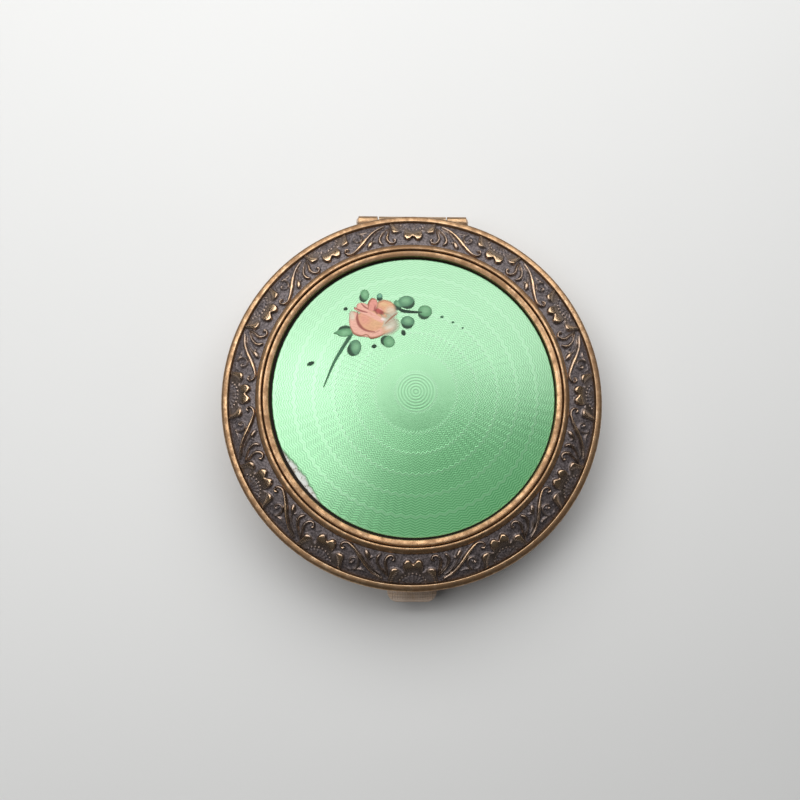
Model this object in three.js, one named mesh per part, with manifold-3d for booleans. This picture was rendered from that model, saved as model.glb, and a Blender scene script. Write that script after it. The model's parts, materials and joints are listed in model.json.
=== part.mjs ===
// Round hinged pill box: a brass base pan with an inner collar, and a domed brass lid with a
// raised border, an enamelled plaque in a bezel, a tube hinge and a sprung push catch.
// Millimetres, +Z up. The origin is the centre of the flat bottom, the hinge is at +Y and the
// catch is at -Y.

import * as THREE from 'three';
import { mergeVertices } from 'three/addons/utils/BufferGeometryUtils.js';
import Module from 'manifold-3d';

const wasm = await Module();
wasm.setup();

// ---- driving dimensions --------------------------------------------------------------------

const SEGMENTS = 60; // facets round the box
const SHEET = 0.6; // thickness of the stamped brass
const SEAM = 0.05; // gap between pieces that are soldered or pressed together
const CLEAR = 0.25; // gap round a piece that moves in a slot

const LID_R = 28; // outside of the lid's skirt and rim
const BASE_R = 27.7; // outside of the base wall
const BASE_TOP = 6.1;
const SKIRT_BOTTOM = 6.35;
const RIM_Z = 9.2; // top of the plain rolled rim

const RIM_INNER_R = 26.95; // where the raised border starts
const BORDER_INNER_R = 22.85; // where it meets the ridge
const BORDER_INNER_Z = 10.95;
const BORDER_CROWN = 0.28; // how far the border's section bows up from a straight cone
const RIDGE_Z = 11.3; // crest of the ridge round the plaque

const SEAT_R = 21.8; // wall of the recess that holds the bezel
const SEAT_Z = 9.9;
const WINDOW_R = 18.6; // hole under the plaque

const BEZEL_LIP_R = 20.9; // inner edge of the lip that holds the plaque's flange down
const BEZEL_LIP_Z = 10.35; // underside of that lip
const BEZEL_CREST_Z = 11.2;
const PLAQUE_R = 20.5; // visible edge of the enamel, a groove's width inside the bezel
const PLAQUE_EDGE_Z = 10.6;
const PLAQUE_RISE = 2.1; // height of its dome
const PLAQUE_THICKNESS = 0.85;
const FLANGE_R = 21.45; // the plaque's flange, which lies on the seat under the bezel's lip
const FLANGE_THICKNESS = 0.35;

const LINER_R = 25.5; // polished plate inside the lid
const LINER_EDGE_Z = 8.55;
const LINER_RISE = 0.4;
const LINER_THICKNESS = 0.35;

const COLLAR_R = 26.4; // outside of the collar that the lid closes over
const COLLAR_THICKNESS = 0.5;
const COLLAR_TOP = 8.1;
const PAN_CORNER = 1.3; // outside radius of the base's lower edge

const HINGE_Y = 28.05;
const HINGE_Z = 6.2;
const BARREL_R = 0.9;
const PIN_R = 0.45;
const PIN_CLEARANCE = 0.06;
const HINGE_HALF = 8.4; // half the length of the barrel
const LID_KNUCKLE_HALF = 5.2;
const KNUCKLE_GAP = 0.2;
const HINGE_NOTCH = 1.15; // how far the walls are cut away above and below the axis
const HINGE_LEAF_BACK = 28.35;
const HINGE_LEAF_BOTTOM = 3.1;
const ROUND_FACETS = 16;

const THUMB_HALF = 3.6;
const THUMB_FRONT = -29.6;
const THUMB_BACK = -27.3;
const THUMB_BOTTOM = 2.2;
const THUMB_HEIGHT = 2.8;
const THUMB_CORNER = 1.5;

const HOOK_HALF = 2.2;
const HOOK_FRONT = -26.3;
const HOOK_THICKNESS = 0.4;
const HOOK_BOTTOM = 3;
const HOOK_TOP = 7.9;
const NOSE_REACH = 0.5;
const NOSE_BOTTOM = 7.15;
const NOSE_HEIGHT = 0.6;

const KEEPER_LEDGE_R = 26.9;
const KEEPER_HALF = 2.8;
const KEEPER_Z = [6.5, 6.95, 8]; // underside of the ledge, its top, top of its wall plate
const KEEPER_THICKNESS = 0.3;

const STEM_R = 0.45;
const STEM_Z = 3.8;
const STEM_END = -22.5;
const BRACKET_FRONT = -23.4;
const BRACKET_END = -20.3;
const BRACKET_THICKNESS = 0.4;
const BRACKET_HALF = 2.6;
const BRACKET_TOP = 5.2;
const RIVET_X = 1.6;
const RIVET_Y = -21.6;
const RIVET_R = 0.3;
const RIVET_HEAD_R = 0.6;
const RIVET_HEAD_HEIGHT = 0.35;

const SPRING_R = 0.75; // middle of the wire
const SPRING_WIRE_R = 0.14;
const SPRING_TURNS = 5;

// ---- materials -----------------------------------------------------------------------------

const metal = (color, roughness) => ({ color, roughness, metalness: 1 });
const GILT_BRASS = metal(0xc39a5c, 0.35);
const ANTIQUED_BRASS = metal(0x8d6f4a, 0.45);
const POLISHED_BRASS = metal(0xe2c27c, 0.12);
const AGED_BRASS = metal(0x7b6350, 0.5);
const SPRING_STEEL = metal(0x8b8b8d, 0.3);
const MINT_ENAMEL = { color: 0xa9e6bb, roughness: 0.12, metalness: 0.2 };

// ---- helpers -------------------------------------------------------------------------------

/** Strips a geometry to one closed skin of shared vertices whose faces point out. */
function closedSkin(geometry) {
  const plain = geometry.index ? geometry.toNonIndexed() : geometry.clone();
  plain.deleteAttribute('normal');
  plain.deleteAttribute('uv');
  const merged = mergeVertices(plain, 1e-5);
  const corners = merged.index.array;
  const position = merged.attributes.position;
  const faces = [];
  let volume = 0;
  const [a, b, c] = [new THREE.Vector3(), new THREE.Vector3(), new THREE.Vector3()];
  for (let i = 0; i < corners.length; i += 3) {
    const [p, q, r] = corners.slice(i, i + 3);
    if (p === q || q === r || r === p) continue;
    faces.push([p, q, r]);
    a.fromBufferAttribute(position, p);
    b.fromBufferAttribute(position, q);
    c.fromBufferAttribute(position, r);
    volume += a.dot(b.cross(c));
  }
  const outward = volume > 0 ? faces : faces.map(([p, q, r]) => [p, r, q]);
  merged.setIndex(outward.flat());
  return merged;
}

function toSolid(geometry) {
  const skin = closedSkin(geometry);
  const vertProperties = new Float32Array(skin.attributes.position.array);
  const triVerts = new Uint32Array(skin.index.array);
  return new wasm.Manifold(new wasm.Mesh({ numProp: 3, vertProperties, triVerts }));
}

function toGeometry(solid) {
  const mesh = solid.getMesh();
  const geometry = new THREE.BufferGeometry();
  geometry.setAttribute('position', new THREE.BufferAttribute(mesh.vertProperties, 3));
  geometry.setIndex(new THREE.BufferAttribute(mesh.triVerts, 1));
  return geometry;
}

/** Turns a profile of [radius, height] points round the Z axis. */
function turned(profile, facets = SEGMENTS) {
  const points = profile.map(([radius, height]) => new THREE.Vector2(radius, height));
  return new THREE.LatheGeometry(points, facets).rotateX(Math.PI / 2);
}

/** The same for a ring, whose section closes on itself. */
function ring(section, facets = SEGMENTS) {
  return turned([...section, section[0]], facets);
}

/** A box given by its lowest and highest corners. */
function block([x0, y0, z0], [x1, y1, z1]) {
  const box = new THREE.BoxGeometry(x1 - x0, y1 - y0, z1 - z0);
  return box.translate((x0 + x1) / 2, (y0 + y1) / 2, (z0 + z1) / 2);
}

/** A rod along X on the hinge axis. */
function hingeRod(radius, x0, x1) {
  const rod = new THREE.CylinderGeometry(radius, radius, x1 - x0, ROUND_FACETS);
  return rod.rotateZ(Math.PI / 2).translate((x0 + x1) / 2, HINGE_Y, HINGE_Z);
}

/** A rod along Y at the height of the catch's stem. */
function stemRod(radius, y0, y1) {
  const rod = new THREE.CylinderGeometry(radius, radius, y1 - y0, ROUND_FACETS);
  return rod.translate(0, (y0 + y1) / 2, STEM_Z);
}

/** A round hole's cutter along Z. */
function uprightRod(radius, x, y, z0, z1) {
  const rod = new THREE.CylinderGeometry(radius, radius, z1 - z0, ROUND_FACETS);
  return rod.rotateX(Math.PI / 2).translate(x, y, (z0 + z1) / 2);
}

/** Points of a shallow dome from the edge to the axis, or back. */
function dome(edgeR, edgeZ, rise, steps, inward = true) {
  const points = [];
  for (let i = 0; i <= steps; i += 1) {
    const radius = edgeR * (inward ? 1 - i / steps : i / steps);
    points.push([radius, edgeZ + rise * (1 - (radius / edgeR) ** 2)]);
  }
  return points;
}

const group = new THREE.Group();

function addPart(name, geometry, look) {
  const skin = closedSkin(geometry);
  skin.computeVertexNormals();
  const mesh = new THREE.Mesh(skin, new THREE.MeshStandardMaterial(look));
  mesh.name = name;
  group.add(mesh);
}

/** Cut-away for the hinge, which both walls need. */
function hingeNotch() {
  const half = HINGE_HALF + KNUCKLE_GAP;
  return toSolid(block([-half, 24, HINGE_Z - HINGE_NOTCH], [half, 30, HINGE_Z + HINGE_NOTCH]));
}

// ---- base ----------------------------------------------------------------------------------

function basePan() {
  const innerR = BASE_R - SHEET;
  const cornerR = BASE_R - PAN_CORNER;
  const inner = innerR - cornerR;
  const section = [[0, 0]];
  for (const angle of [-90, -60, -30, 0].map(THREE.MathUtils.degToRad)) {
    section.push([cornerR + PAN_CORNER * Math.cos(angle), PAN_CORNER * (1 + Math.sin(angle))]);
  }
  section.push([BASE_R, BASE_TOP], [innerR, BASE_TOP]);
  for (const angle of [0, -45, -90].map(THREE.MathUtils.degToRad)) {
    section.push([cornerR + inner * Math.cos(angle), PAN_CORNER + inner * Math.sin(angle)]);
  }
  section.push([0, PAN_CORNER - inner]);
  const thumbHalf = THUMB_HALF + CLEAR;
  const thumbTop = THUMB_BOTTOM + THUMB_HEIGHT;
  const thumbWindow = block(
    [-thumbHalf, -30, THUMB_BOTTOM - CLEAR],
    [thumbHalf, -25, thumbTop + CLEAR],
  );
  let pan = toSolid(turned(section)).subtract(hingeNotch()).subtract(toSolid(thumbWindow));
  for (const side of [-1, 1]) {
    const hole = uprightRod(RIVET_R + PIN_CLEARANCE, side * RIVET_X, RIVET_Y, -1, 1);
    pan = pan.subtract(toSolid(hole));
  }
  return toGeometry(pan);
}

function baseCollar() {
  const innerR = COLLAR_R - COLLAR_THICKNESS;
  const edge = 0.15;
  const section = [
    [COLLAR_R, SHEET + SEAM],
    [COLLAR_R, COLLAR_TOP - edge],
    [COLLAR_R - edge, COLLAR_TOP],
    [innerR + edge, COLLAR_TOP],
    [innerR, COLLAR_TOP - edge],
    [innerR, SHEET + SEAM],
  ];
  const half = HOOK_HALF + 2 * CLEAR;
  const slot = block([-half, -28, HOOK_BOTTOM - CLEAR], [half, -24, COLLAR_TOP + 1]);
  return toGeometry(toSolid(ring(section)).subtract(toSolid(slot)));
}

// ---- lid -----------------------------------------------------------------------------------

/** Height of the border's middle surface at a radius. */
function borderZ(radius) {
  const across = (RIM_INNER_R - radius) / (RIM_INNER_R - BORDER_INNER_R);
  const cone = RIM_Z + (BORDER_INNER_Z - RIM_Z) * across;
  return cone + BORDER_CROWN * 4 * across * (1 - across);
}

function lidShell() {
  const skirtInner = LID_R - SHEET;
  const ridgeMiddle = (BORDER_INNER_R + SEAT_R) / 2;
  const section = [
    [LID_R, SKIRT_BOTTOM],
    [LID_R, RIM_Z - 0.4],
    [LID_R - 0.12, RIM_Z - 0.12],
    [LID_R - 0.4, RIM_Z],
    [RIM_INNER_R, RIM_Z],
  ];
  const borderSteps = 4;
  for (let i = 1; i <= borderSteps; i += 1) {
    const radius = RIM_INNER_R + ((BORDER_INNER_R - RIM_INNER_R) * i) / borderSteps;
    section.push([radius, borderZ(radius)]);
  }
  section.push(
    [ridgeMiddle, RIDGE_Z],
    [SEAT_R, RIDGE_Z - 0.4],
    [SEAT_R, SEAT_Z],
    [WINDOW_R, SEAT_Z],
    [WINDOW_R, SEAT_Z - SHEET],
    [SEAT_R + SHEET, SEAT_Z - SHEET],
    [SEAT_R + SHEET, BORDER_INNER_Z - SHEET],
    [(skirtInner + SEAT_R) / 2, borderZ((skirtInner + SEAT_R) / 2) - SHEET * 1.2],
    [skirtInner, RIM_Z - SHEET],
    [skirtInner, SKIRT_BOTTOM],
  );
  return toGeometry(toSolid(ring(section)).subtract(hingeNotch()));
}

function plaqueBezel() {
  const outerR = SEAT_R - SEAM;
  const innerR = FLANGE_R + SEAM;
  return ring([
    [outerR, SEAT_Z + SEAM],
    [outerR, BEZEL_CREST_Z - 0.35],
    [(outerR + BEZEL_LIP_R) / 2, BEZEL_CREST_Z],
    [BEZEL_LIP_R, BEZEL_CREST_Z - 0.35],
    [BEZEL_LIP_R, BEZEL_LIP_Z],
    [innerR, BEZEL_LIP_Z],
    [innerR, SEAT_Z + SEAM],
  ]);
}

function enamelPlaque() {
  const steps = 6;
  const bottomEdge = SEAT_Z + SEAM;
  const bottomRise = PLAQUE_EDGE_Z + PLAQUE_RISE - PLAQUE_THICKNESS - bottomEdge;
  const flangeTop = bottomEdge + FLANGE_THICKNESS;
  return turned([
    ...dome(PLAQUE_R - PLAQUE_THICKNESS, bottomEdge, bottomRise, steps, false),
    [FLANGE_R, bottomEdge],
    [FLANGE_R, flangeTop],
    [PLAQUE_R, flangeTop],
    ...dome(PLAQUE_R, PLAQUE_EDGE_Z, PLAQUE_RISE, steps),
  ]);
}

function lidLinerPlate() {
  const steps = 4;
  return turned([
    ...dome(LINER_R, LINER_EDGE_Z, LINER_RISE, steps, false),
    ...dome(LINER_R, LINER_EDGE_Z + LINER_THICKNESS, LINER_RISE, steps),
  ]);
}

function linerRetainingRing() {
  const lipInner = LINER_R - 0.6;
  const outerR = LINER_R + 0.65;
  const bottom = LINER_EDGE_Z - 0.25;
  return ring([
    [lipInner, bottom],
    [outerR, bottom],
    [outerR, bottom + 0.45],
    [LINER_R + 2 * SEAM, bottom + 0.7],
    [LINER_R + 2 * SEAM, LINER_EDGE_Z - SEAM],
    [lipInner, LINER_EDGE_Z - SEAM],
  ]);
}

function lidKeeper() {
  const outerR = LID_R - SHEET - SEAM;
  const plateR = outerR - KEEPER_THICKNESS;
  const [ledgeBottom, ledgeTop, plateTop] = KEEPER_Z;
  const section = [
    [outerR, ledgeBottom],
    [outerR, plateTop],
    [plateR, plateTop],
    [plateR, ledgeTop],
    [KEEPER_LEDGE_R, ledgeTop],
    [KEEPER_LEDGE_R, ledgeBottom],
  ];
  const width = block([-KEEPER_HALF, -29, 0], [KEEPER_HALF, -20, 10]);
  return toGeometry(toSolid(ring(section)).intersect(toSolid(width)));
}

// ---- hinge ---------------------------------------------------------------------------------

function bored(solid) {
  const bore = hingeRod(PIN_R + PIN_CLEARANCE, -HINGE_HALF - 1, HINGE_HALF + 1);
  return toGeometry(solid.subtract(toSolid(bore)));
}

function lidHingeLeaf() {
  const outerR = LID_R - SHEET - SEAM;
  const innerR = outerR - COLLAR_THICKNESS + 0.1;
  const webBottom = HINGE_Z + 0.15;
  const section = [
    [outerR, webBottom],
    [outerR, COLLAR_TOP],
    [innerR, COLLAR_TOP],
    [innerR, webBottom],
  ];
  const half = LID_KNUCKLE_HALF - KNUCKLE_GAP;
  const width = block([-half, 24, 0], [half, 30, 10]);
  const leaf = toSolid(ring(section)).intersect(toSolid(width));
  const web = block([-half, 26.8, webBottom], [half, HINGE_Y, HINGE_Z + BARREL_R - 0.2]);
  const knuckle = hingeRod(BARREL_R, -LID_KNUCKLE_HALF, LID_KNUCKLE_HALF);
  return bored(leaf.add(toSolid(web)).add(toSolid(knuckle)));
}

function baseHingeLeaf() {
  const leafTop = HINGE_Z - HINGE_NOTCH - SEAM;
  const plate = block(
    [-HINGE_HALF, 25, HINGE_LEAF_BOTTOM],
    [HINGE_HALF, HINGE_LEAF_BACK, leafTop],
  );
  const wall = turned([[0, 0], [BASE_R + SEAM, 0], [BASE_R + SEAM, 10], [0, 10]]);
  let leaf = toSolid(plate).subtract(toSolid(wall));
  const knuckleStart = LID_KNUCKLE_HALF + KNUCKLE_GAP;
  for (const side of [-1, 1]) {
    const [x0, x1] = [side * knuckleStart, side * HINGE_HALF].sort((a, b) => a - b);
    const post = block([x0, 27.3, leafTop - 0.5], [x1, HINGE_LEAF_BACK, HINGE_Z]);
    const fitted = toSolid(post).subtract(
      toSolid(turned([[0, 0], [BASE_R + SEAM, 0], [BASE_R + SEAM, leafTop], [0, leafTop]])),
    );
    leaf = leaf.add(fitted).add(toSolid(hingeRod(BARREL_R, x0, x1)));
  }
  return bored(leaf);
}

function hingePin() {
  const end = HINGE_HALF + 0.3;
  const head = HINGE_HALF + SEAM;
  const headR = 0.62;
  const pin = turned([
    [0, -end],
    [PIN_R, -end],
    [headR, -end + 0.1],
    [headR, -head],
    [PIN_R, -head],
    [PIN_R, head],
    [headR, head],
    [headR, end - 0.1],
    [PIN_R, end],
    [0, end],
  ], ROUND_FACETS);
  return pin.rotateY(Math.PI / 2).translate(0, HINGE_Y, HINGE_Z);
}

// ---- catch ---------------------------------------------------------------------------------

/** The thumb tab's outline seen from above, with its two front corners rounded. */
function thumbTab() {
  const outline = new THREE.Shape();
  const shoulder = THUMB_HALF - THUMB_CORNER;
  const arcY = THUMB_FRONT + THUMB_CORNER;
  outline.moveTo(-THUMB_HALF, THUMB_BACK);
  outline.lineTo(-THUMB_HALF, arcY);
  outline.absarc(-shoulder, arcY, THUMB_CORNER, Math.PI, 1.5 * Math.PI, false);
  outline.absarc(shoulder, arcY, THUMB_CORNER, 1.5 * Math.PI, 2 * Math.PI, false);
  outline.lineTo(THUMB_HALF, THUMB_BACK);
  outline.closePath();
  const options = { depth: THUMB_HEIGHT, bevelEnabled: false, curveSegments: 5 };
  return new THREE.ExtrudeGeometry(outline, options).translate(0, 0, THUMB_BOTTOM);
}

/** The hook's nose: a wedge that slopes on top, so that the closing lid rides over it. */
function hookNose() {
  const outline = new THREE.Shape();
  const root = HOOK_FRONT + HOOK_THICKNESS / 2;
  outline.moveTo(root, NOSE_BOTTOM);
  outline.lineTo(HOOK_FRONT - NOSE_REACH, NOSE_BOTTOM);
  outline.lineTo(HOOK_FRONT - NOSE_REACH, NOSE_BOTTOM + 0.15);
  outline.lineTo(root, NOSE_BOTTOM + NOSE_HEIGHT);
  outline.closePath();
  const width = 2 * HOOK_HALF - 2 * CLEAR;
  const nose = new THREE.ExtrudeGeometry(outline, { depth: width, bevelEnabled: false });
  // The outline is drawn in Y and Z, so its drawing axes are turned into place.
  const turn = new THREE.Matrix4().makeBasis(
    new THREE.Vector3(0, 1, 0),
    new THREE.Vector3(0, 0, 1),
    new THREE.Vector3(1, 0, 0),
  );
  return nose.applyMatrix4(turn).translate(-width / 2, 0, 0);
}

function latchButton() {
  const hookBack = HOOK_FRONT + HOOK_THICKNESS;
  const tongue = block(
    [-HOOK_HALF, THUMB_BACK - 0.3, HOOK_BOTTOM],
    [HOOK_HALF, hookBack, HOOK_BOTTOM + 1.6],
  );
  const plate = block([-HOOK_HALF, HOOK_FRONT, HOOK_BOTTOM], [HOOK_HALF, hookBack, HOOK_TOP]);
  const stem = stemRod(STEM_R, hookBack - 0.2, STEM_END);
  const pieces = [tongue, plate, hookNose(), stem];
  return toGeometry(pieces.reduce((sum, piece) => sum.add(toSolid(piece)), toSolid(thumbTab())));
}

function latchBracket() {
  const floor = SHEET + SEAM;
  const upright = block(
    [-BRACKET_HALF, BRACKET_FRONT, floor],
    [BRACKET_HALF, BRACKET_FRONT + BRACKET_THICKNESS, BRACKET_TOP],
  );
  const foot = block(
    [-BRACKET_HALF, BRACKET_FRONT, floor],
    [BRACKET_HALF, BRACKET_END, floor + BRACKET_THICKNESS],
  );
  const stemHole = stemRod(STEM_R + PIN_CLEARANCE, BRACKET_FRONT - 1, BRACKET_FRONT + 1);
  let bracket = toSolid(upright).add(toSolid(foot)).subtract(toSolid(stemHole));
  for (const side of [-1, 1]) {
    const hole = uprightRod(RIVET_R + PIN_CLEARANCE, side * RIVET_X, RIVET_Y, 0, 2);
    bracket = bracket.subtract(toSolid(hole));
  }
  return toGeometry(bracket);
}

function latchRivet(x) {
  const headZ = SHEET + BRACKET_THICKNESS + 2 * SEAM;
  const rivet = turned([
    [0, SEAM],
    [RIVET_R, SEAM],
    [RIVET_R, headZ],
    [RIVET_HEAD_R, headZ],
    [RIVET_HEAD_R * 0.8, headZ + RIVET_HEAD_HEIGHT * 0.7],
    [0, headZ + RIVET_HEAD_HEIGHT],
  ], ROUND_FACETS);
  return rivet.translate(x, RIVET_Y, 0);
}

/** A coil round the stem, between the hook plate and the bracket. */
function latchSpring() {
  class Coil extends THREE.Curve {
    getPoint(t, target = new THREE.Vector3()) {
      const start = HOOK_FRONT + HOOK_THICKNESS + 2 * SPRING_WIRE_R;
      const end = BRACKET_FRONT - 2 * SPRING_WIRE_R;
      const angle = 2 * Math.PI * SPRING_TURNS * t;
      return target.set(
        SPRING_R * Math.cos(angle),
        start + (end - start) * t,
        STEM_Z + SPRING_R * Math.sin(angle),
      );
    }
  }
  const wire = new THREE.Shape();
  wire.absarc(0, 0, SPRING_WIRE_R, 0, 2 * Math.PI, false);
  const steps = SPRING_TURNS * 10;
  return new THREE.ExtrudeGeometry(wire, { steps, curveSegments: 5, extrudePath: new Coil() });
}

// ---- assembly ------------------------------------------------------------------------------

addPart('base_pan', basePan(), GILT_BRASS);
addPart('base_collar', baseCollar(), POLISHED_BRASS);
addPart('base_hinge_leaf', baseHingeLeaf(), GILT_BRASS);
addPart('hinge_pin', hingePin(), AGED_BRASS);
addPart('latch_bracket', latchBracket(), GILT_BRASS);
addPart('latch_rivet_left', latchRivet(-RIVET_X), AGED_BRASS);
addPart('latch_rivet_right', latchRivet(RIVET_X), AGED_BRASS);
addPart('latch_spring', latchSpring(), SPRING_STEEL);
addPart('latch_button', latchButton(), AGED_BRASS);
addPart('lid_shell', lidShell(), ANTIQUED_BRASS);
addPart('plaque_bezel', plaqueBezel(), GILT_BRASS);
addPart('enamel_plaque', enamelPlaque(), MINT_ENAMEL);
addPart('lid_liner_plate', lidLinerPlate(), POLISHED_BRASS);
addPart('liner_retaining_ring', linerRetainingRing(), GILT_BRASS);
addPart('lid_keeper', lidKeeper(), AGED_BRASS);
addPart('lid_hinge_leaf', lidHingeLeaf(), GILT_BRASS);

export default group;
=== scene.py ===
"""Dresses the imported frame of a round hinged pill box.

The lid is antiqued and gilt brass with a stamped floral border round a domed, enamelled plaque
with a painted rose. The works of the hinge and the catch, the inside and the underside are made
too. Lengths in the code are millimetres, and meshes are written in metres. Clock angles run
clockwise from the hinge, as seen from above.
"""

import json
import math

import bmesh
import bpy
import numpy as np
from mathutils import Matrix, Vector


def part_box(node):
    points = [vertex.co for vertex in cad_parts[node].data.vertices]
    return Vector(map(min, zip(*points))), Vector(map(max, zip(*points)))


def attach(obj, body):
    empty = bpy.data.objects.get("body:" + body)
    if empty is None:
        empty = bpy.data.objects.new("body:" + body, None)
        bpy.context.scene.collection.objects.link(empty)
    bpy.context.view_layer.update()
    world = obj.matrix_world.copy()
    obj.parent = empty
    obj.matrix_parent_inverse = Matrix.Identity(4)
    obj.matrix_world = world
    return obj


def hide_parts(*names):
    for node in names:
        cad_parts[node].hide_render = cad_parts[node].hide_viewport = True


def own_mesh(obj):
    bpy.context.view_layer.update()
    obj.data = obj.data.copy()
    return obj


bl_info = {
    "name": "Pill Box",
    "version": (1, 0, 0),
    "blender": (4, 5, 0),
    "location": "3D View > Sidebar > Pill Box",
    "description": "Makes a round brass pill box with an enamelled lid",
    "category": "Object",
}

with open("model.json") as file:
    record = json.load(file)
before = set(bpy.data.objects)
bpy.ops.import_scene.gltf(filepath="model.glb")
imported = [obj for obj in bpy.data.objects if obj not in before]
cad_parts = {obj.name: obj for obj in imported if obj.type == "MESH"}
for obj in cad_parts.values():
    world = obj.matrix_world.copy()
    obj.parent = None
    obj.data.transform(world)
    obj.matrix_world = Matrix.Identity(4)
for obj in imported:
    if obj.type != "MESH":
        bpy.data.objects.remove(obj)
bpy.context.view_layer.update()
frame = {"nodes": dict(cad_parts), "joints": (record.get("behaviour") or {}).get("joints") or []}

MM = 0.001


def node_box(name):
    """Lowest and highest corner of a CAD node, in millimetres."""
    low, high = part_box(name)
    return low / MM, high / MM


# ---- places read from the frame --------------------------------------------------------------

SHELL_LOW, SHELL_HIGH = node_box("lid_shell")
BEZEL_LOW, BEZEL_HIGH = node_box("plaque_bezel")
PLAQUE_LOW, PLAQUE_HIGH = node_box("enamel_plaque")
LINER_LOW, LINER_HIGH = node_box("lid_liner_plate")
RING_LOW, RING_HIGH = node_box("liner_retaining_ring")
PAN_HIGH = node_box("base_pan")[1]
COLLAR_LOW, COLLAR_HIGH = node_box("base_collar")
LEAF_HIGH = node_box("base_hinge_leaf")[1]
KNUCKLE_HIGH = node_box("lid_hinge_leaf")[1]
PIN_HIGH = node_box("hinge_pin")[1]
BUTTON_LOW, BUTTON_HIGH = node_box("latch_button")
RIVET_LOW, RIVET_HIGH = node_box("latch_rivet_right")
SPRING_LOW, SPRING_HIGH = node_box("latch_spring")
JOINTS = {joint["name"]: joint for joint in frame["joints"]}
HINGE = Vector(JOINTS["lid_hinge"]["pos_m"]) / MM

LID_R = SHELL_HIGH.x
RIDGE_Z = SHELL_HIGH.z
BASE_R = PAN_HIGH.x
SHEET = 0.6
FACETS = 180


# ---- sizes and colours a user would change ---------------------------------------------------

def length(name, description, millimetres):
    """A size that a user can set, given in millimetres."""
    return bpy.props.FloatProperty(
        name=name, description=description, default=millimetres * MM,
        min=0.0, precision=5, subtype="DISTANCE", unit="LENGTH",
    )


def count(name, description, default):
    """A whole number that a user can set."""
    return bpy.props.IntProperty(name=name, description=description, default=default, min=1)


def colour(name, description, default):
    """A colour that a user can set."""
    return bpy.props.FloatVectorProperty(
        name=name, description=description, default=default, size=3, min=0.0, max=1.0,
        subtype="COLOR",
    )


class PillBoxSizes(bpy.types.PropertyGroup):
    """Sizes of the parts that carry the decoration"""

    rim_inner: length("Rim Inner Radius", "Where the plain rim meets the border", 26.95)
    rim_top: length("Rim Height", "Top of the plain rolled rim", 9.2)
    border_inner: length("Border Inner Radius", "Where the border meets the ridge", 22.7)
    border_top: length("Border Inner Height", "Height of the border at the ridge", 10.95)
    border_crown: length("Border Crown", "How far the border bows up", 0.28)
    relief_depth: length("Relief Depth", "Height of the highest petals over the ground", 0.52)
    border_cells: count("Border Cells", "Repeats of the floral pattern round the lid", 12)
    cells_per_quarter: count("Cells per Quarter", "Repeats before the pattern mirrors", 3)
    seat_radius: length("Seat Radius", "Wall of the recess that holds the bezel", 21.8)
    plaque_radius: length("Plaque Radius", "Visible edge of the enamel", 20.5)
    plaque_edge: length("Plaque Edge Height", "Height of the enamel's edge", 10.6)
    turning_pitch: length("Turning Pitch", "Distance between engine-turned lines", 0.36)
    turning_bands: count("Turning Bands", "Bands of engine turning", 7)
    turning_waves: count("Turning Waves", "Zigzags round one turn", 80)
    edge_round: length("Edge Rounding", "Radius on the edges of small brass parts", 0.07)


class PillBoxColours(bpy.types.PropertyGroup):
    """Colours of the finishes"""

    gilt: colour("Gilt", "Worn gilt brass", (0.47, 0.295, 0.16))
    bright: colour("Bright Brass", "Brass rubbed bare on edges and high spots", (0.74, 0.54, 0.35))
    tarnish: colour("Tarnish", "Brown tarnish on the brass", (0.17, 0.09, 0.045))
    patina: colour("Patina", "Dark ground of the antiqued border", (0.045, 0.036, 0.036))
    polished: colour("Polished Brass", "Inside of the box", (0.90, 0.68, 0.36))
    aged: colour("Aged Brass", "Dull brass of the catch and the pin", (0.72, 0.60, 0.50))
    enamel_pale: colour("Pale Enamel", "Mint over the crests of the turning", (0.215, 0.60, 0.26))
    enamel_deep: colour("Deep Enamel", "Mint in the grooves of the turning", (0.055, 0.35, 0.10))
    chipped: colour("Chipped Enamel", "White ground bared at the plaque's edge", (0.58, 0.60, 0.56))
    steel: colour("Spring Steel", "Wire of the catch's spring", (0.45, 0.45, 0.47))
    floor: colour("Floor", "Pale surface under the box", (0.63, 0.63, 0.62))


def sizes():
    """The sizes set in the scene."""
    return bpy.context.scene.pill_box_sizes


def colours():
    """The colours set in the scene."""
    return bpy.context.scene.pill_box_colours


def in_mm(value):
    """Metres to millimetres."""
    return value / MM


# ---- node helpers ----------------------------------------------------------------------------

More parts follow.
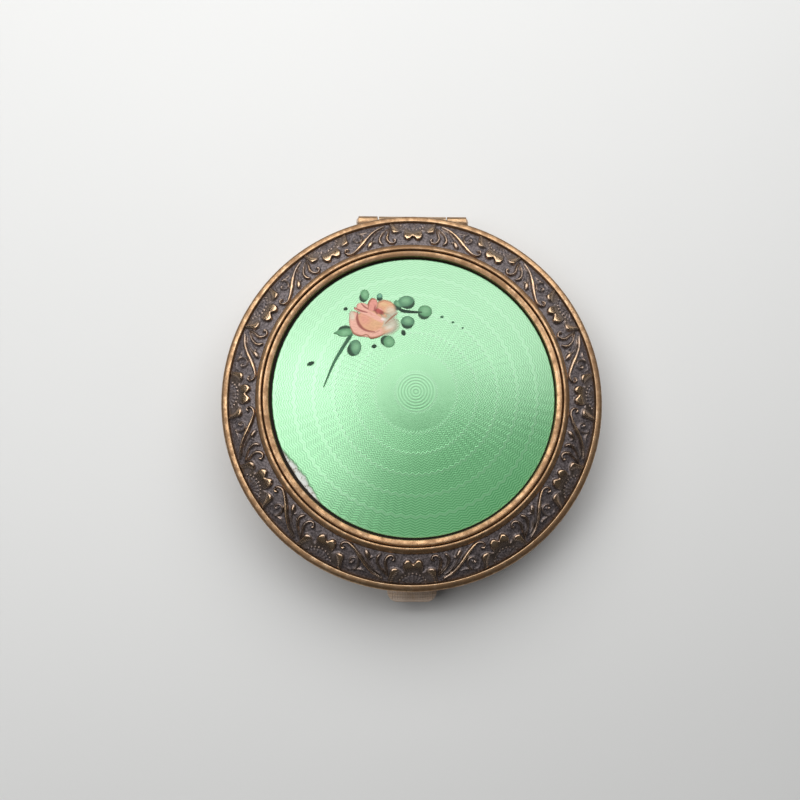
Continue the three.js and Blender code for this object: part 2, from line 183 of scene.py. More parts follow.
class Graph:
    """Adds nodes to a tree and links them."""

    def __init__(self, tree):
        self.tree = tree

    def feed(self, socket, value):
        if isinstance(value, bpy.types.NodeSocket):
            self.tree.links.new(value, socket)
        else:
            socket.default_value = value

    def add(self, kind, values=None, **settings):
        node = self.tree.nodes.new(kind)
        for key, value in settings.items():
            setattr(node, key, value)
        for name, value in (values or {}).items():
            self.feed(node.inputs[name], value)
        return node

    def math(self, operation, *values, clamp=False):
        node = self.add("ShaderNodeMath", dict(enumerate(values)), operation=operation)
        node.use_clamp = clamp
        return node.outputs[0]

    def span(self, value, low, high, to_low=0.0, to_high=1.0):
        """Maps low..high to to_low..to_high, smoothly and clamped."""
        node = self.add("ShaderNodeMapRange", interpolation_type="SMOOTHSTEP")
        for index, item in enumerate((value, low, high, to_low, to_high)):
            self.feed(node.inputs[index], item)
        return node.outputs["Result"]

    def mix(self, factor, a, b, blend="MIX"):
        node = self.add("ShaderNodeMix", data_type="RGBA", blend_type=blend)
        self.feed(node.inputs[0], factor)
        self.feed(node.inputs[6], a)
        self.feed(node.inputs[7], b)
        return node.outputs[2]

    def attribute(self, name):
        """A number stored on the mesh."""
        return self.add("ShaderNodeAttribute", attribute_name=name).outputs["Fac"]

    def distance(self, x, y):
        """Distance of x, y from the point 0, 0."""
        squares = self.math("ADD", self.math("MULTIPLY", x, x), self.math("MULTIPLY", y, y))
        return self.math("SQRT", squares)

    def noise(self, vector, scale, detail=2.0, roughness=0.5):
        values = {"Vector": vector, "Scale": scale, "Detail": detail, "Roughness": roughness}
        return self.add("ShaderNodeTexNoise", values).outputs["Fac"]

    def place(self, scale=(1.0, 1.0, 1.0), turn=0.0):
        """Object coordinates, scaled and turned about Z."""
        vector = self.add("ShaderNodeTexCoord").outputs["Object"]
        values = {"Vector": vector, "Scale": scale, "Rotation": (0.0, 0.0, turn)}
        return self.add("ShaderNodeMapping", values).outputs["Vector"]


SOCKETS = {float: "NodeSocketFloat", tuple: "NodeSocketColor", Vector: "NodeSocketVector"}


def new_group(name, inputs, outputs):
    """A shader node group with named sockets. Returns its graph, its inputs and its output node."""
    tree = bpy.data.node_groups.new(name, "ShaderNodeTree")
    for label, default in inputs.items():
        kind = SOCKETS[type(default)]
        socket = tree.interface.new_socket(label, in_out="INPUT", socket_type=kind)
        socket.default_value = default
    for label, kind in outputs.items():
        tree.interface.new_socket(label, in_out="OUTPUT", socket_type=SOCKETS[kind])
    graph = Graph(tree)
    return graph, graph.add("NodeGroupInput").outputs, graph.add("NodeGroupOutput")


def rgba(values):
    """A colour with full cover."""
    return (*values, 1.0)


def once(maker):
    """Makes a group or material the first time it is asked for, and keeps it."""
    made = {}

    def get():
        if "it" not in made:
            made["it"] = maker()
        return made["it"]

    return get


# ---- shared effects --------------------------------------------------------------------------

# Sizes of the engine turning in metres, as shader coordinates are.
ZIGZAG_SWING = 0.00032
CENTRE_EXTRA_PITCH = 0.00007
CENTRE_X = 0.00035
RING_SWING = 0.13  # of a band's width
FAINT_BAND = 1.0  # number of the band whose lines are weaker

@once
def tarnish_group():
    """Brown blotches, darker in hollows, and bare metal on edges, from the edge attribute."""
    inputs = {
        "Metal": (0.6, 0.4, 0.2, 1.0), "Tarnish": (0.2, 0.1, 0.05, 1.0),
        "Bare": (0.9, 0.7, 0.4, 1.0), "Amount": 0.5, "Wear": 0.5, "Scale": 400.0,
    }
    graph, given, out = new_group("Tarnish and Wear", inputs, {"Colour": tuple, "Dullness": float})
    place = graph.place()
    blotch = graph.noise(place, given["Scale"], 5.0, 0.62)
    speck = graph.noise(place, 2600.0, 2.0, 0.7)
    edge = graph.attribute("edge")
    hollow = graph.span(edge, -0.05, -0.45)
    broad = graph.noise(place, 70.0, 2.0, 0.5)
    cover = graph.span(graph.math("MULTIPLY_ADD", broad, 0.5, blotch), 0.62, 0.92)
    cover = graph.math("MULTIPLY", cover, given["Amount"])
    fleck = graph.math("MULTIPLY", graph.span(speck, 0.58, 0.66), given["Amount"])
    cover = graph.math("MAXIMUM", graph.math("MAXIMUM", cover, hollow), fleck)
    rub = graph.math("MULTIPLY", graph.span(edge, 0.08, 0.5), given["Wear"])
    rub = graph.math("MULTIPLY", rub, graph.span(blotch, 0.3, 0.55, 0.45, 1.0))
    pale = graph.span(graph.noise(place, 1100.0, 3.0, 0.6), 0.48, 0.68, 0.0, 0.5)
    metal = graph.mix(pale, given["Metal"], given["Bare"])
    toned = graph.mix(cover, metal, given["Tarnish"])
    graph.feed(out.inputs["Colour"], graph.mix(rub, toned, given["Bare"]))
    graph.feed(out.inputs["Dullness"], graph.math("SUBTRACT", cover, rub, clamp=True))
    return graph.tree


@once
def scuff_group():
    """Fine straight scratches in three directions."""
    graph, given, out = new_group("Scuffs", {"Density": 0.5}, {"Height": float, "Mask": float})
    lines = []
    for turn, stretch in ((0.5, 45.0), (-1.1, 60.0), (1.9, 38.0)):
        place = graph.place((1.0, stretch, 1.0), turn)
        lines.append(graph.span(graph.noise(place, 190.0, 3.0, 0.6), 0.66, 0.72))
    mask = graph.math("MAXIMUM", graph.math("MAXIMUM", lines[0], lines[1]), lines[2])
    mask = graph.math("MULTIPLY", mask, given["Density"])
    graph.feed(out.inputs["Mask"], mask)
    graph.feed(out.inputs["Height"], graph.math("MULTIPLY", mask, -1.0))
    return graph.tree


@once
def spin_group():
    """Fine rings left by turning and polishing, from the distance to the box's axis."""
    outputs = {"Height": float, "Tone": float}
    graph, given, out = new_group("Spin Lines", {"Pitch": 0.00012}, outputs)
    parts = graph.add("ShaderNodeSeparateXYZ", {0: graph.place()}).outputs
    radius = graph.distance(parts["X"], parts["Y"])
    turns = graph.math("DIVIDE", radius, given["Pitch"])
    height = graph.math("DIVIDE", parts["Z"], given["Pitch"])
    ring_place = graph.add("ShaderNodeCombineXYZ", {"X": turns, "Z": height}).outputs[0]
    rings = graph.noise(ring_place, 1.0, 3.0, 0.7)
    graph.feed(out.inputs["Height"], rings)
    graph.feed(out.inputs["Tone"], graph.span(rings, 0.35, 0.65))
    return graph.tree


@once
def turning_group():
    """Engine turning: bands of zigzag lines between pale wavy rings, round a plain centre."""
    inputs = {"Radius": 0.0207, "Bands": 7.0, "Pitch": 0.00036, "Waves": 80.0,
              "Centre X": CENTRE_X}
    outputs = {"Height": float, "Line": float, "Ring": float}
    graph, given, out = new_group("Engine Turning", inputs, outputs)
    parts = graph.add("ShaderNodeSeparateXYZ", {0: graph.place()}).outputs
    x = graph.math("SUBTRACT", parts["X"], given["Centre X"])
    radius = graph.distance(x, parts["Y"])
    angle = graph.math("ARCTAN2", parts["Y"], x)
    sweep = graph.math("MULTIPLY", angle, graph.math("DIVIDE", given["Waves"], math.pi))
    zigzag = graph.math("SUBTRACT", graph.math("PINGPONG", sweep, 1.0), 0.5)

    band = graph.math("DIVIDE", graph.math("MULTIPLY", radius, given["Bands"]), given["Radius"])
    band_number = graph.math("FLOOR", band)
    wavy = graph.math("GREATER_THAN", band_number, 0.5)
    waving = graph.math("MULTIPLY", zigzag, wavy)
    swing = graph.math("MULTIPLY", waving, ZIGZAG_SWING)
    centre_pitch = graph.math("MULTIPLY", graph.math("SUBTRACT", 1.0, wavy), CENTRE_EXTRA_PITCH)
    pitch = graph.math("ADD", given["Pitch"], centre_pitch)
    shifted = graph.math("ADD", radius, swing)
    phase = graph.math("DIVIDE", graph.math("MULTIPLY", shifted, 2.0 * math.pi), pitch)

    faint = graph.math("COMPARE", band_number, FAINT_BAND, 0.1)
    strength = graph.math("MULTIPLY_ADD", faint, -0.3, 0.5)
    line = graph.math("MULTIPLY_ADD", graph.math("SINE", phase), strength, 0.5)
    ring_swing = graph.math("MULTIPLY", waving, RING_SWING)
    near = graph.math("PINGPONG", graph.math("ADD", band, ring_swing), 0.5)
    ring = graph.span(near, 0.08, 0.01)
    ring = graph.math("MULTIPLY", ring, graph.math("GREATER_THAN", band, 0.3))
    graph.feed(out.inputs["Line"], line)
    graph.feed(out.inputs["Ring"], ring)
    graph.feed(out.inputs["Height"], graph.math("MULTIPLY_ADD", ring, 0.8, line))
    return graph.tree


# ---- materials -------------------------------------------------------------------------------

# Heights of the bumps, in metres.
SPIN_DEPTH = 0.000004
SCUFF_DEPTH = 0.000006
STAMP_DEPTH = 0.00004
TURNING_DEPTH = 0.00002
BRUSH_DEPTH = 0.00001
FLOOR_DEPTH = 0.00005

# Second colours of the finishes, which the main ones blend into.
STAMPED_GROUND = (0.165, 0.137, 0.138)
WORN_GILT = (0.30, 0.225, 0.175)
TURNED_RING = (0.27, 0.58, 0.31)
# Painted shade, multiplied over the enamel towards the hinge.
HINGE_SIDE_PAINTED_SHADE = (0.40, 0.50, 0.43)
CHIP_DIRT = (0.20, 0.16, 0.12)
# Dark grime and painted shade for the narrow groove round the plaque.
GROOVE_GRIME_AND_SHADE = (0.014, 0.009, 0.006)
BRUSH_SHADE = (0.30, 0.16, 0.10)
DARK_STEEL = (0.22, 0.20, 0.19)
FLOOR_MOTTLE = (0.60, 0.60, 0.59)

class Finish:
    """A material with one Principled BSDF, and helpers for its bump."""

    def __init__(self, name, **constants):
        self.material = bpy.data.materials.new(name)
        self.material.use_nodes = True
        self.graph = Graph(self.material.node_tree)
        self.shader = self.material.node_tree.nodes["Principled BSDF"]
        for label, value in constants.items():
            self.shader.inputs[label.replace("_", " ")].default_value = value

    def group(self, tree, **values):
        node = self.graph.add("ShaderNodeGroup", node_tree=tree)
        for label, value in values.items():
            self.graph.feed(node.inputs[label], value)
        return node.outputs

    def set(self, label, value):
        self.graph.feed(self.shader.inputs[label], value)

    def bump(self, height, distance, strength=1.0, under=None):
        values = {"Height": height, "Distance": distance, "Strength": strength}
        if under is not None:
            values["Normal"] = under
        return self.graph.add("ShaderNodeBump", values).outputs["Normal"]


def brass(name, metal, amount, wear, roughness, spin_pitch=0.00012, scuffs=0.5, scale=400.0,
          metallic=1.0):
    """Brass with tarnish in its hollows, bare edges, spin lines and scratches."""
    finish = Finish(name, Metallic=metallic)
    graph = finish.graph
    tone = finish.group(
        tarnish_group(), Metal=rgba(metal), Tarnish=rgba(colours().tarnish),
        Bare=rgba(colours().bright), Amount=amount, Wear=wear, Scale=scale,
    )
    spin = finish.group(spin_group(), Pitch=spin_pitch)
    scuff = finish.group(scuff_group(), Density=scuffs)
    shade = graph.mix(graph.math("MULTIPLY", spin["Tone"], 0.5), tone["Colour"],
                      rgba(colours().tarnish))
    finish.set("Base Color", graph.mix(graph.math("MULTIPLY", scuff["Mask"], 0.35), shade,
                                       rgba(colours().bright)))
    rough = graph.math("MULTIPLY_ADD", tone["Dullness"], 0.35, roughness)
    finish.set("Roughness", graph.math("MULTIPLY_ADD", scuff["Mask"], 0.08, rough, clamp=True))
    lines = finish.bump(spin["Height"], SPIN_DEPTH, 0.6)
    finish.set("Normal", finish.bump(scuff["Height"], SCUFF_DEPTH, 0.7, lines))
    return finish.material


@once
def gilt_brass():
    """Worn gilding, for the rims, the ridges and the outside."""
    return brass("gilt_brass", colours().gilt, 0.6, 0.6, 0.36, spin_pitch=0.00024, scale=760.0)


@once
def polished_brass():
    """Bright brass inside the box."""
    return brass("polished_brass", colours().polished, 0.10, 0.5, 0.12, scuffs=0.35)


@once
def aged_brass():
    """Dull brass of the small working parts."""
    return brass("aged_brass", colours().aged, 0.3, 0.3, 0.5, metallic=0.3)


@once
def antiqued_brass():
    """Stamped border: dark patina in the ground, gilt rubbed bright on the high spots."""
    finish = Finish("antiqued_brass")
    graph = finish.graph
    place = graph.place()
    relief = graph.attribute("relief")
    edge = graph.attribute("edge")
    patchy = graph.noise(place, 900.0, 4.0, 0.6)
    grain = graph.noise(place, 3600.0, 3.0, 0.65)
    height = graph.math("MULTIPLY_ADD", graph.math("SUBTRACT", patchy, 0.5), 0.85, relief)
    height = graph.math("MULTIPLY_ADD", edge, 0.35, height)
    rubbed = graph.span(height, 0.15, 0.65)
    gilded = graph.span(height, 0.60, 0.95)
    crest = graph.span(height, 0.70, 1.10)
    ground = graph.mix(graph.span(grain, 0.35, 0.65), rgba(colours().patina),
                       rgba(STAMPED_GROUND))
    tone = graph.mix(rubbed, ground, rgba(WORN_GILT))
    tone = graph.mix(gilded, tone, rgba(colours().gilt))
    finish.set("Base Color", graph.mix(crest, tone, rgba(colours().bright)))
    finish.set("Metallic", graph.span(rubbed, 0.0, 0.6, 0.45, 1.0))
    finish.set("Roughness", graph.math("MULTIPLY_ADD", rubbed, -0.26, 0.52))
    finish.set("Normal", finish.bump(grain, STAMP_DEPTH, 0.6))
    return finish.material


@once
def mint_enamel():
    """Mint enamel: the colour follows the turning, under a clear satin coat."""
    finish = Finish("mint_enamel", Coat_Roughness=0.36, Coat_IOR=2.0, IOR=1.5)
    graph = finish.graph
    s = sizes()
    turning = finish.group(
        turning_group(), Radius=s.plaque_radius, Bands=float(s.turning_bands),
        Pitch=s.turning_pitch, Waves=float(s.turning_waves),
    )
    chip = graph.attribute("chip")
    cloud = graph.noise(graph.place(), 160.0, 3.0, 0.55)
    base = graph.mix(graph.span(cloud, 0.3, 0.75, 0.05, 0.3), rgba(colours().enamel_deep),
                     rgba(colours().enamel_pale))
    lined = graph.mix(turning["Line"], base, rgba(colours().enamel_pale))
    ringed = graph.mix(graph.math("MULTIPLY", turning["Ring"], 0.45), lined,
                       rgba(TURNED_RING))
    # Painted shade: the enamel's colour is darkened towards the hinge, to even out how the light
    # falls across the dome.
    along = graph.add("ShaderNodeSeparateXYZ", {0: graph.place()}).outputs["Y"]
    depth = graph.span(along, -s.plaque_radius, s.plaque_radius, 0.0, 0.8)
    ringed = graph.mix(depth, ringed, rgba(HINGE_SIDE_PAINTED_SHADE), "MULTIPLY")
    dirt = graph.noise(graph.place(), 1400.0, 4.0, 0.7)
    bared = graph.mix(graph.span(dirt, 0.50, 0.62), rgba(colours().chipped),
                      rgba(CHIP_DIRT))
    # Dark grime and painted shade on the flange at the foot of the groove round the plaque:
    # near-black colour and no coat.
    groove_grime_and_shade = graph.attribute("groove_grime_and_shade")
    outside_groove = graph.math("SUBTRACT", 1.0, groove_grime_and_shade)
    surface = graph.mix(chip, ringed, bared)
    finish.set("Base Color", graph.mix(groove_grime_and_shade, surface, rgba(GROOVE_GRIME_AND_SHADE)))
    sound = graph.math("SUBTRACT", 1.0, chip)
    finish.set("Metallic", graph.math("MULTIPLY", sound, 0.3))
    rough = graph.math("MULTIPLY_ADD", chip, 0.3, 0.28)
    finish.set("Roughness", graph.math("MULTIPLY_ADD", groove_grime_and_shade, 0.6, rough))
    coat = graph.math("MULTIPLY_ADD", chip, -0.7, 1.0)
    finish.set("Coat Weight", graph.math("MULTIPLY", coat, outside_groove))
    finish.set("Normal", finish.bump(turning["Height"], TURNING_DEPTH, 0.7))
    return finish.material


@once
def rose_paint():
    """Painted enamel: its colour and cover are attributes that the strokes leave."""
    finish = Finish("rose_paint", Roughness=0.5, IOR=1.3)
    graph = finish.graph
    paint = graph.add("ShaderNodeAttribute", attribute_name="paint").outputs
    grain = graph.noise(graph.place((1.0, 3.0, 1.0), 0.7), 2600.0, 3.0, 0.6)
    shaded = graph.mix(graph.span(grain, 0.35, 0.7, 0.0, 0.22), paint["Color"],
                       rgba(BRUSH_SHADE), "MULTIPLY")
    finish.set("Base Color", shaded)
    finish.set("Alpha", paint["Alpha"])
    finish.set("Normal", finish.bump(grain, BRUSH_DEPTH, 0.5))
    return finish.material


@once
def spring_steel():
    """Drawn steel wire."""
    finish = Finish("spring_steel", Metallic=1.0)
    graph = finish.graph
    draw = graph.noise(graph.place((1.0, 1.0, 20.0)), 2200.0, 2.0, 0.6)
    finish.set("Base Color", graph.mix(graph.span(draw, 0.35, 0.7), rgba(colours().steel),
                                       rgba(DARK_STEEL)))
    finish.set("Roughness", graph.span(draw, 0.3, 0.7, 0.22, 0.42))
    finish.set("Normal", finish.bump(draw, SPIN_DEPTH, 0.5))
    return finish.material


@once
def pale_floor():
    """A pale, faintly mottled surface."""
    finish = Finish("pale_floor", Roughness=0.75)
    graph = finish.graph
    place = graph.place()
    mottle = graph.span(graph.noise(place, 14.0, 3.0, 0.5), 0.35, 0.7, 0.0, 0.25)
    finish.set("Base Color", graph.mix(mottle, rgba(colours().floor), rgba(FLOOR_MOTTLE)))
    finish.set("Normal", finish.bump(graph.noise(place, 900.0, 3.0, 0.6), FLOOR_DEPTH, 0.15))
    return finish.material


# ---- mesh helpers ----------------------------------------------------------------------------

def link_mesh(name, mesh, material):
    """Puts a mesh in the scene as an object, with its material."""
    obj = bpy.data.objects.new(name, mesh)
    bpy.context.scene.collection.objects.link(obj)
    if material is not None:
        mesh.materials.clear()
        mesh.materials.append(material)
    return obj


def build_mesh(name, points, faces, material):
    """An object from millimetre points and faces, merged and facing out."""
    mesh = bpy.data.meshes.new(name)
    mesh.from_pydata((np.asarray(points) * MM).tolist(), [], np.asarray(faces).tolist())
    obj = link_mesh(name, mesh, material)
    weld(obj)
    return obj


def weld(obj, distance=1e-7):
    """Merges points that coincide, and turns the faces out."""
    body = bmesh.new()
    body.from_mesh(obj.data)
    bmesh.ops.remove_doubles(body, verts=body.verts, dist=distance)
    bmesh.ops.dissolve_degenerate(body, edges=body.edges, dist=distance)
    if body.calc_volume(signed=True) < 0:
        bmesh.ops.reverse_faces(body, faces=body.faces)
    body.to_mesh(obj.data)
    body.free()


def grid_faces(rows, columns, wrap_rows=False, wrap_columns=False):
    """Quads of a grid of points, numbered row by row."""
    row = np.arange(rows if wrap_rows else rows - 1)[:, None]
    column = np.arange(columns if wrap_columns else columns - 1)[None, :]
    next_row = (row + 1) % rows
    next_column = (column + 1) % columns
    corners = [row * columns + column, row * columns + next_column,
               next_row * columns + next_column, next_row * columns + column]
    return np.stack([np.broadcast_to(c, (row.size, column.size)).ravel() for c in corners], 1)


def filleted(section, closed=True, steps=4):
    """Rounds the corners of an outline of (radius, height) or (radius, height, fillet) points."""
    points = [np.array(p[:2], float) for p in section]
    fillets = [p[2] if len(p) > 2 else 0.06 for p in section]
    out = []
    total = len(points)
    for i, (point, fillet) in enumerate(zip(points, fillets)):
        if not closed and i in (0, total - 1) or fillet == 0:
            out.append(point)
            continue
        before, after = points[i - 1] - point, points[(i + 1) % total] - point
        reach = min(fillet, 0.45 * np.hypot(*before), 0.45 * np.hypot(*after))
        start = point + before / np.hypot(*before) * reach
        end = point + after / np.hypot(*after) * reach
        for t in np.linspace(0.0, 1.0, steps + 1):
            out.append((1 - t) ** 2 * start + 2 * t * (1 - t) * point + t ** 2 * end)
    return np.array(out)


def turn_mesh(name, section, material, closed=True, facets=FACETS):
    """Turns an outline round the Z axis. An open outline starts and ends on the axis."""
    radius, height = np.asarray(section).T
    angle = np.arange(facets) * (2 * math.pi / facets)
    points = np.stack([
        radius[:, None] * np.cos(angle), radius[:, None] * np.sin(angle),
        np.broadcast_to(height[:, None], (len(radius), facets)),
    ], -1).reshape(-1, 3)
    faces = grid_faces(len(radius), facets, wrap_rows=closed, wrap_columns=True)
    return build_mesh(name, points, faces, material)


def turned(name, section, material, closed=True, facets=FACETS):
    """Turns an outline round the Z axis, with its corners rounded."""
    return turn_mesh(name, filleted(section, closed), material, closed, facets)


def flatten_modifiers(obj):
    """Turns the object's evaluated shape into its plain mesh."""
    depsgraph = bpy.context.evaluated_depsgraph_get()
    mesh = bpy.data.meshes.new_from_object(obj.evaluated_get(depsgraph), depsgraph=depsgraph)
    obj.modifiers.clear()
    old = obj.data
    obj.data = mesh
    bpy.data.meshes.remove(old)


def block(low, high):
    """A box between two corners, for cutting."""
    low, high = np.array(low, float), np.array(high, float)
    corners = [low + (high - low) * np.array([i & 1, i >> 1 & 1, i >> 2 & 1]) for i in range(8)]
    faces = [(0, 2, 3, 1), (4, 5, 7, 6), (0, 1, 5, 4), (2, 6, 7, 3), (0, 4, 6, 2), (1, 3, 7, 5)]
    return build_mesh("cutter", corners, faces, None)


def cut(obj, cutters):
    """Cuts the cutters' shapes out of an object, and removes them."""
    for cutter in cutters:
        modifier = obj.modifiers.new("cut", "BOOLEAN")
        modifier.operation = "DIFFERENCE"
        modifier.solver = "EXACT"
        modifier.object = cutter
    flatten_modifiers(obj)
    for cutter in cutters:
        bpy.data.objects.remove(cutter)


def join(target, others):
    """Adds the other objects' meshes to the target's."""
    body = bmesh.new()
    body.from_mesh(target.data)
    for other in others:
        body.from_mesh(other.data)
        bpy.data.objects.remove(other)
    body.to_mesh(target.data)
    body.free()


def mark_edges(obj, rounds=2):
    """Stores how convex (+) or hollow (-) the surface is at each point, as attribute edge."""
    mesh = obj.data
    total = len(mesh.vertices)
    points = np.zeros(total * 3)
    mesh.vertices.foreach_get("co", points)
    points = points.reshape(-1, 3)
    normals = np.zeros(total * 3)
    mesh.vertex_normals.foreach_get("vector", normals)
    normals = normals.reshape(-1, 3)
    pairs = np.zeros(len(mesh.edges) * 2, int)
    mesh.edges.foreach_get("vertices", pairs)
    a, b = pairs.reshape(-1, 2).T
    run = points[b] - points[a]
    run /= np.maximum(np.linalg.norm(run, axis=1), 1e-12)[:, None]
    bend = np.zeros(total)
    ends = np.zeros(total)
    np.add.at(bend, a, -(normals[a] * run).sum(1))
    np.add.at(bend, b, (normals[b] * run).sum(1))
    np.add.at(ends, a, 1)
    np.add.at(ends, b, 1)
    ends = np.maximum(ends, 1)
    bend /= ends
    for _ in range(rounds):
        around = np.zeros(total)
        np.add.at(around, a, bend[b])
        np.add.at(around, b, bend[a])
        bend = 0.5 * bend + 0.5 * around / ends
    store(mesh, "edge", np.clip(bend * 3.0, -1.0, 1.0))


def store(mesh, name, values, kind="FLOAT"):
    """Stores one value at each point of a mesh."""
    attribute = mesh.attributes.new(name, kind, "POINT")
    field = "value" if kind == "FLOAT" else "color"
    attribute.data.foreach_set(field, np.asarray(values, np.float32).ravel())


def finish_piece(obj, body, replaces=(), sharp=40.0):
    """Shades a piece, marks its edges for wear, hangs it on its body and hides the CAD parts it
    replaces.
    """
    obj.data.shade_smooth()
    obj.data.set_sharp_from_angle(angle=math.radians(sharp))
    if "edge" not in obj.data.attributes:
        mark_edges(obj)
    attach(obj, body)
    if replaces:
        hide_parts(*replaces)
    return obj


def refined_copy(node, material, name, bevel=None):
    """A copy of a CAD node with its flat faces whole and its edges rounded."""
    mesh = frame["nodes"][node].data.copy()
    obj = link_mesh(name, mesh, material)
    body = bmesh.new()
    body.from_mesh(mesh)
    bmesh.ops.remove_doubles(body, verts=body.verts, dist=2e-6)
    bmesh.ops.dissolve_limit(body, angle_limit=math.radians(2.0), verts=body.verts,
                             edges=body.edges)
    body.to_mesh(mesh)
    body.free()
    modifier = obj.modifiers.new("soft edges", "BEVEL")
    modifier.width = sizes().edge_round if bevel is None else bevel
    modifier.segments = 3
    modifier.limit_method = "ANGLE"
    modifier.angle_limit = math.radians(40.0)
    modifier.use_clamp_overlap = True
    flatten_modifiers(obj)
    return obj


# ---- geometry node trees ---------------------------------------------------------------------

def new_tree(name, inputs):
    """A geometry tree with a Geometry input and the given named ones."""
    tree = bpy.data.node_groups.new(name, "GeometryNodeTree")
    tree.interface.new_socket("Geometry", in_out="INPUT", socket_type="NodeSocketGeometry")
    for label, (kind, default) in inputs.items():
        socket = tree.interface.new_socket(label, in_out="INPUT", socket_type=kind)
        if default is not None:
            socket.default_value = default
    tree.interface.new_socket("Geometry", in_out="OUTPUT", socket_type="NodeSocketGeometry")
    graph = Graph(tree)
    return graph, graph.add("NodeGroupInput").outputs, graph.add("NodeGroupOutput")


def run_tree(obj, tree, **values):
    """Runs a geometry tree on an object and keeps the result as its plain mesh."""
    modifier = obj.modifiers.new(tree.name, "NODES")
    modifier.node_group = tree
    for item in tree.interface.items_tree:
        if item.in_out == "INPUT" and item.name in values:
            modifier[item.identifier] = values[item.name]
    obj.update_tag()
    flatten_modifiers(obj)


def close_tree(graph, out, geometry, material, merge=None):
    """Ends a tree: realised, merged if asked, with its material set."""
    solid = graph.add("GeometryNodeRealizeInstances", {"Geometry": geometry}).outputs[0]
    if merge is not None:
        values = {"Geometry": solid, "Distance": merge}
        solid = graph.add("GeometryNodeMergeByDistance", values).outputs[0]
    values = {"Geometry": solid, "Material": material}
    painted = graph.add("GeometryNodeSetMaterial", values).outputs[0]
    graph.feed(out.inputs[0], painted)


@once
def ring_tree():
    """Repeats one cell of the border round the Z axis, mirrored in every other quarter."""
    graph, given, out = new_tree("Border Ring", {
        "Cells": ("NodeSocketInt", 12),
        "Cells per Quarter": ("NodeSocketInt", 3),
        "Material": ("NodeSocketMaterial", None),
    })
    points = graph.add("GeometryNodeMeshLine", {"Count": given["Cells"], "Offset": (0, 0, 0)})
    index = graph.add("GeometryNodeInputIndex").outputs[0]
    quarter = graph.math("FLOOR", graph.math("DIVIDE", index, given["Cells per Quarter"]))
    odd = graph.math("MODULO", quarter, 2.0)
    even = graph.math("SUBTRACT", 1.0, odd)
    step = graph.math("DIVIDE", 2.0 * math.pi, given["Cells"])
    flipped = graph.add("GeometryNodeTransform", {"Geometry": given["Geometry"],
                                                  "Scale": (-1.0, 1.0, 1.0)}).outputs[0]
    mirrored = graph.add("GeometryNodeFlipFaces", {"Mesh": flipped}).outputs[0]
    joined = graph.add("GeometryNodeJoinGeometry")
    for cell, chosen, start in ((given["Geometry"], even, 0.0), (mirrored, odd, 1.0)):
        turn = graph.math("MULTIPLY", graph.math("ADD", index, start), step)
        turn = graph.math("MULTIPLY", turn, -1.0)
        rotation = graph.add("ShaderNodeCombineXYZ", {"Z": turn}).outputs[0]
        placed = graph.add("GeometryNodeInstanceOnPoints", {
            "Points": points.outputs[0], "Selection": chosen, "Instance": cell,
            "Rotation": rotation,
        })
        graph.feed(joined.inputs[0], placed.outputs[0])
    close_tree(graph, out, joined.outputs[0], given["Material"], 2e-6)
    return graph.tree


@once
def row_tree():
    """Repeats a piece in a straight row about its own place."""
    graph, given, out = new_tree("Row", {
        "Count": ("NodeSocketInt", 2),
        "Start": ("NodeSocketVector", (0.0, 0.0, 0.0)),
        "Step": ("NodeSocketVector", (0.001, 0.0, 0.0)),
        "Material": ("NodeSocketMaterial", None),
    })
    points = graph.add("GeometryNodeMeshLine", {
        "Count": given["Count"], "Start Location": given["Start"], "Offset": given["Step"],
    })
    values = {"Points": points.outputs[0], "Instance": given["Geometry"]}
    placed = graph.add("GeometryNodeInstanceOnPoints", values)
    close_tree(graph, out, placed.outputs[0], given["Material"])
    return graph.tree


@once
def coil_tree():
    """A coil of round wire along +Y, from the object's own place."""
    graph, given, out = new_tree("Coil", {
        "Turns": ("NodeSocketFloat", 5.0),
        "Radius": ("NodeSocketFloat", 0.00075),
        "Wire Radius": ("NodeSocketFloat", 0.00014),
        "Length": ("NodeSocketFloat", 0.002),
        "Place": ("NodeSocketVector", (0.0, 0.0, 0.0)),
        "Material": ("NodeSocketMaterial", None),
    })
    spiral = graph.add("GeometryNodeCurveSpiral", {
        "Resolution": 40, "Rotations": given["Turns"], "Start Radius": given["Radius"],
        "End Radius": given["Radius"], "Height": given["Length"],
    })
    section = graph.add("GeometryNodeCurvePrimitiveCircle",
                        {"Resolution": 16, "Radius": given["Wire Radius"]})
    values = {"Curve": spiral.outputs[0], "Profile Curve": section.outputs[0], "Fill Caps": True}
    wire = graph.add("GeometryNodeCurveToMesh", values).outputs[0]
    values = {"Geometry": wire, "Rotation": (-math.pi / 2, 0.0, 0.0),
              "Translation": given["Place"]}
    placed = graph.add("GeometryNodeTransform", values).outputs[0]
    close_tree(graph, out, placed, given["Material"])
    return graph.tree


# ---- lid: rim, skirt and ridge ---------------------------------------------------------------

def border_height(radius):
    """Height of the border's smooth ground at a radius."""
    s = sizes()
    outer, inner = in_mm(s.rim_inner), in_mm(s.border_inner)
    across = (outer - radius) / (outer - inner)
    cone = in_mm(s.rim_top) + (in_mm(s.border_top) - in_mm(s.rim_top)) * across
    return cone + in_mm(s.border_crown) * 4 * across * (1 - across)


HINGE_NOTCH = 1.15  # how far the walls are cut away above and below the hinge's axis
HINGE_SIDE_GAP = 0.2
GROUND_DEPTH = 0.45  # how far the shell lies under the border's ground
SEAT_INNER_R = 18.6
MID_BORDER_R = 24.7


def hinge_cutter():
    """The notch in both walls that clears the hinge."""
    half = LEAF_HIGH.x + HINGE_SIDE_GAP
    return block((-half, 24.0, HINGE.z - HINGE_NOTCH), (half, 31.0, HINGE.z + HINGE_NOTCH))


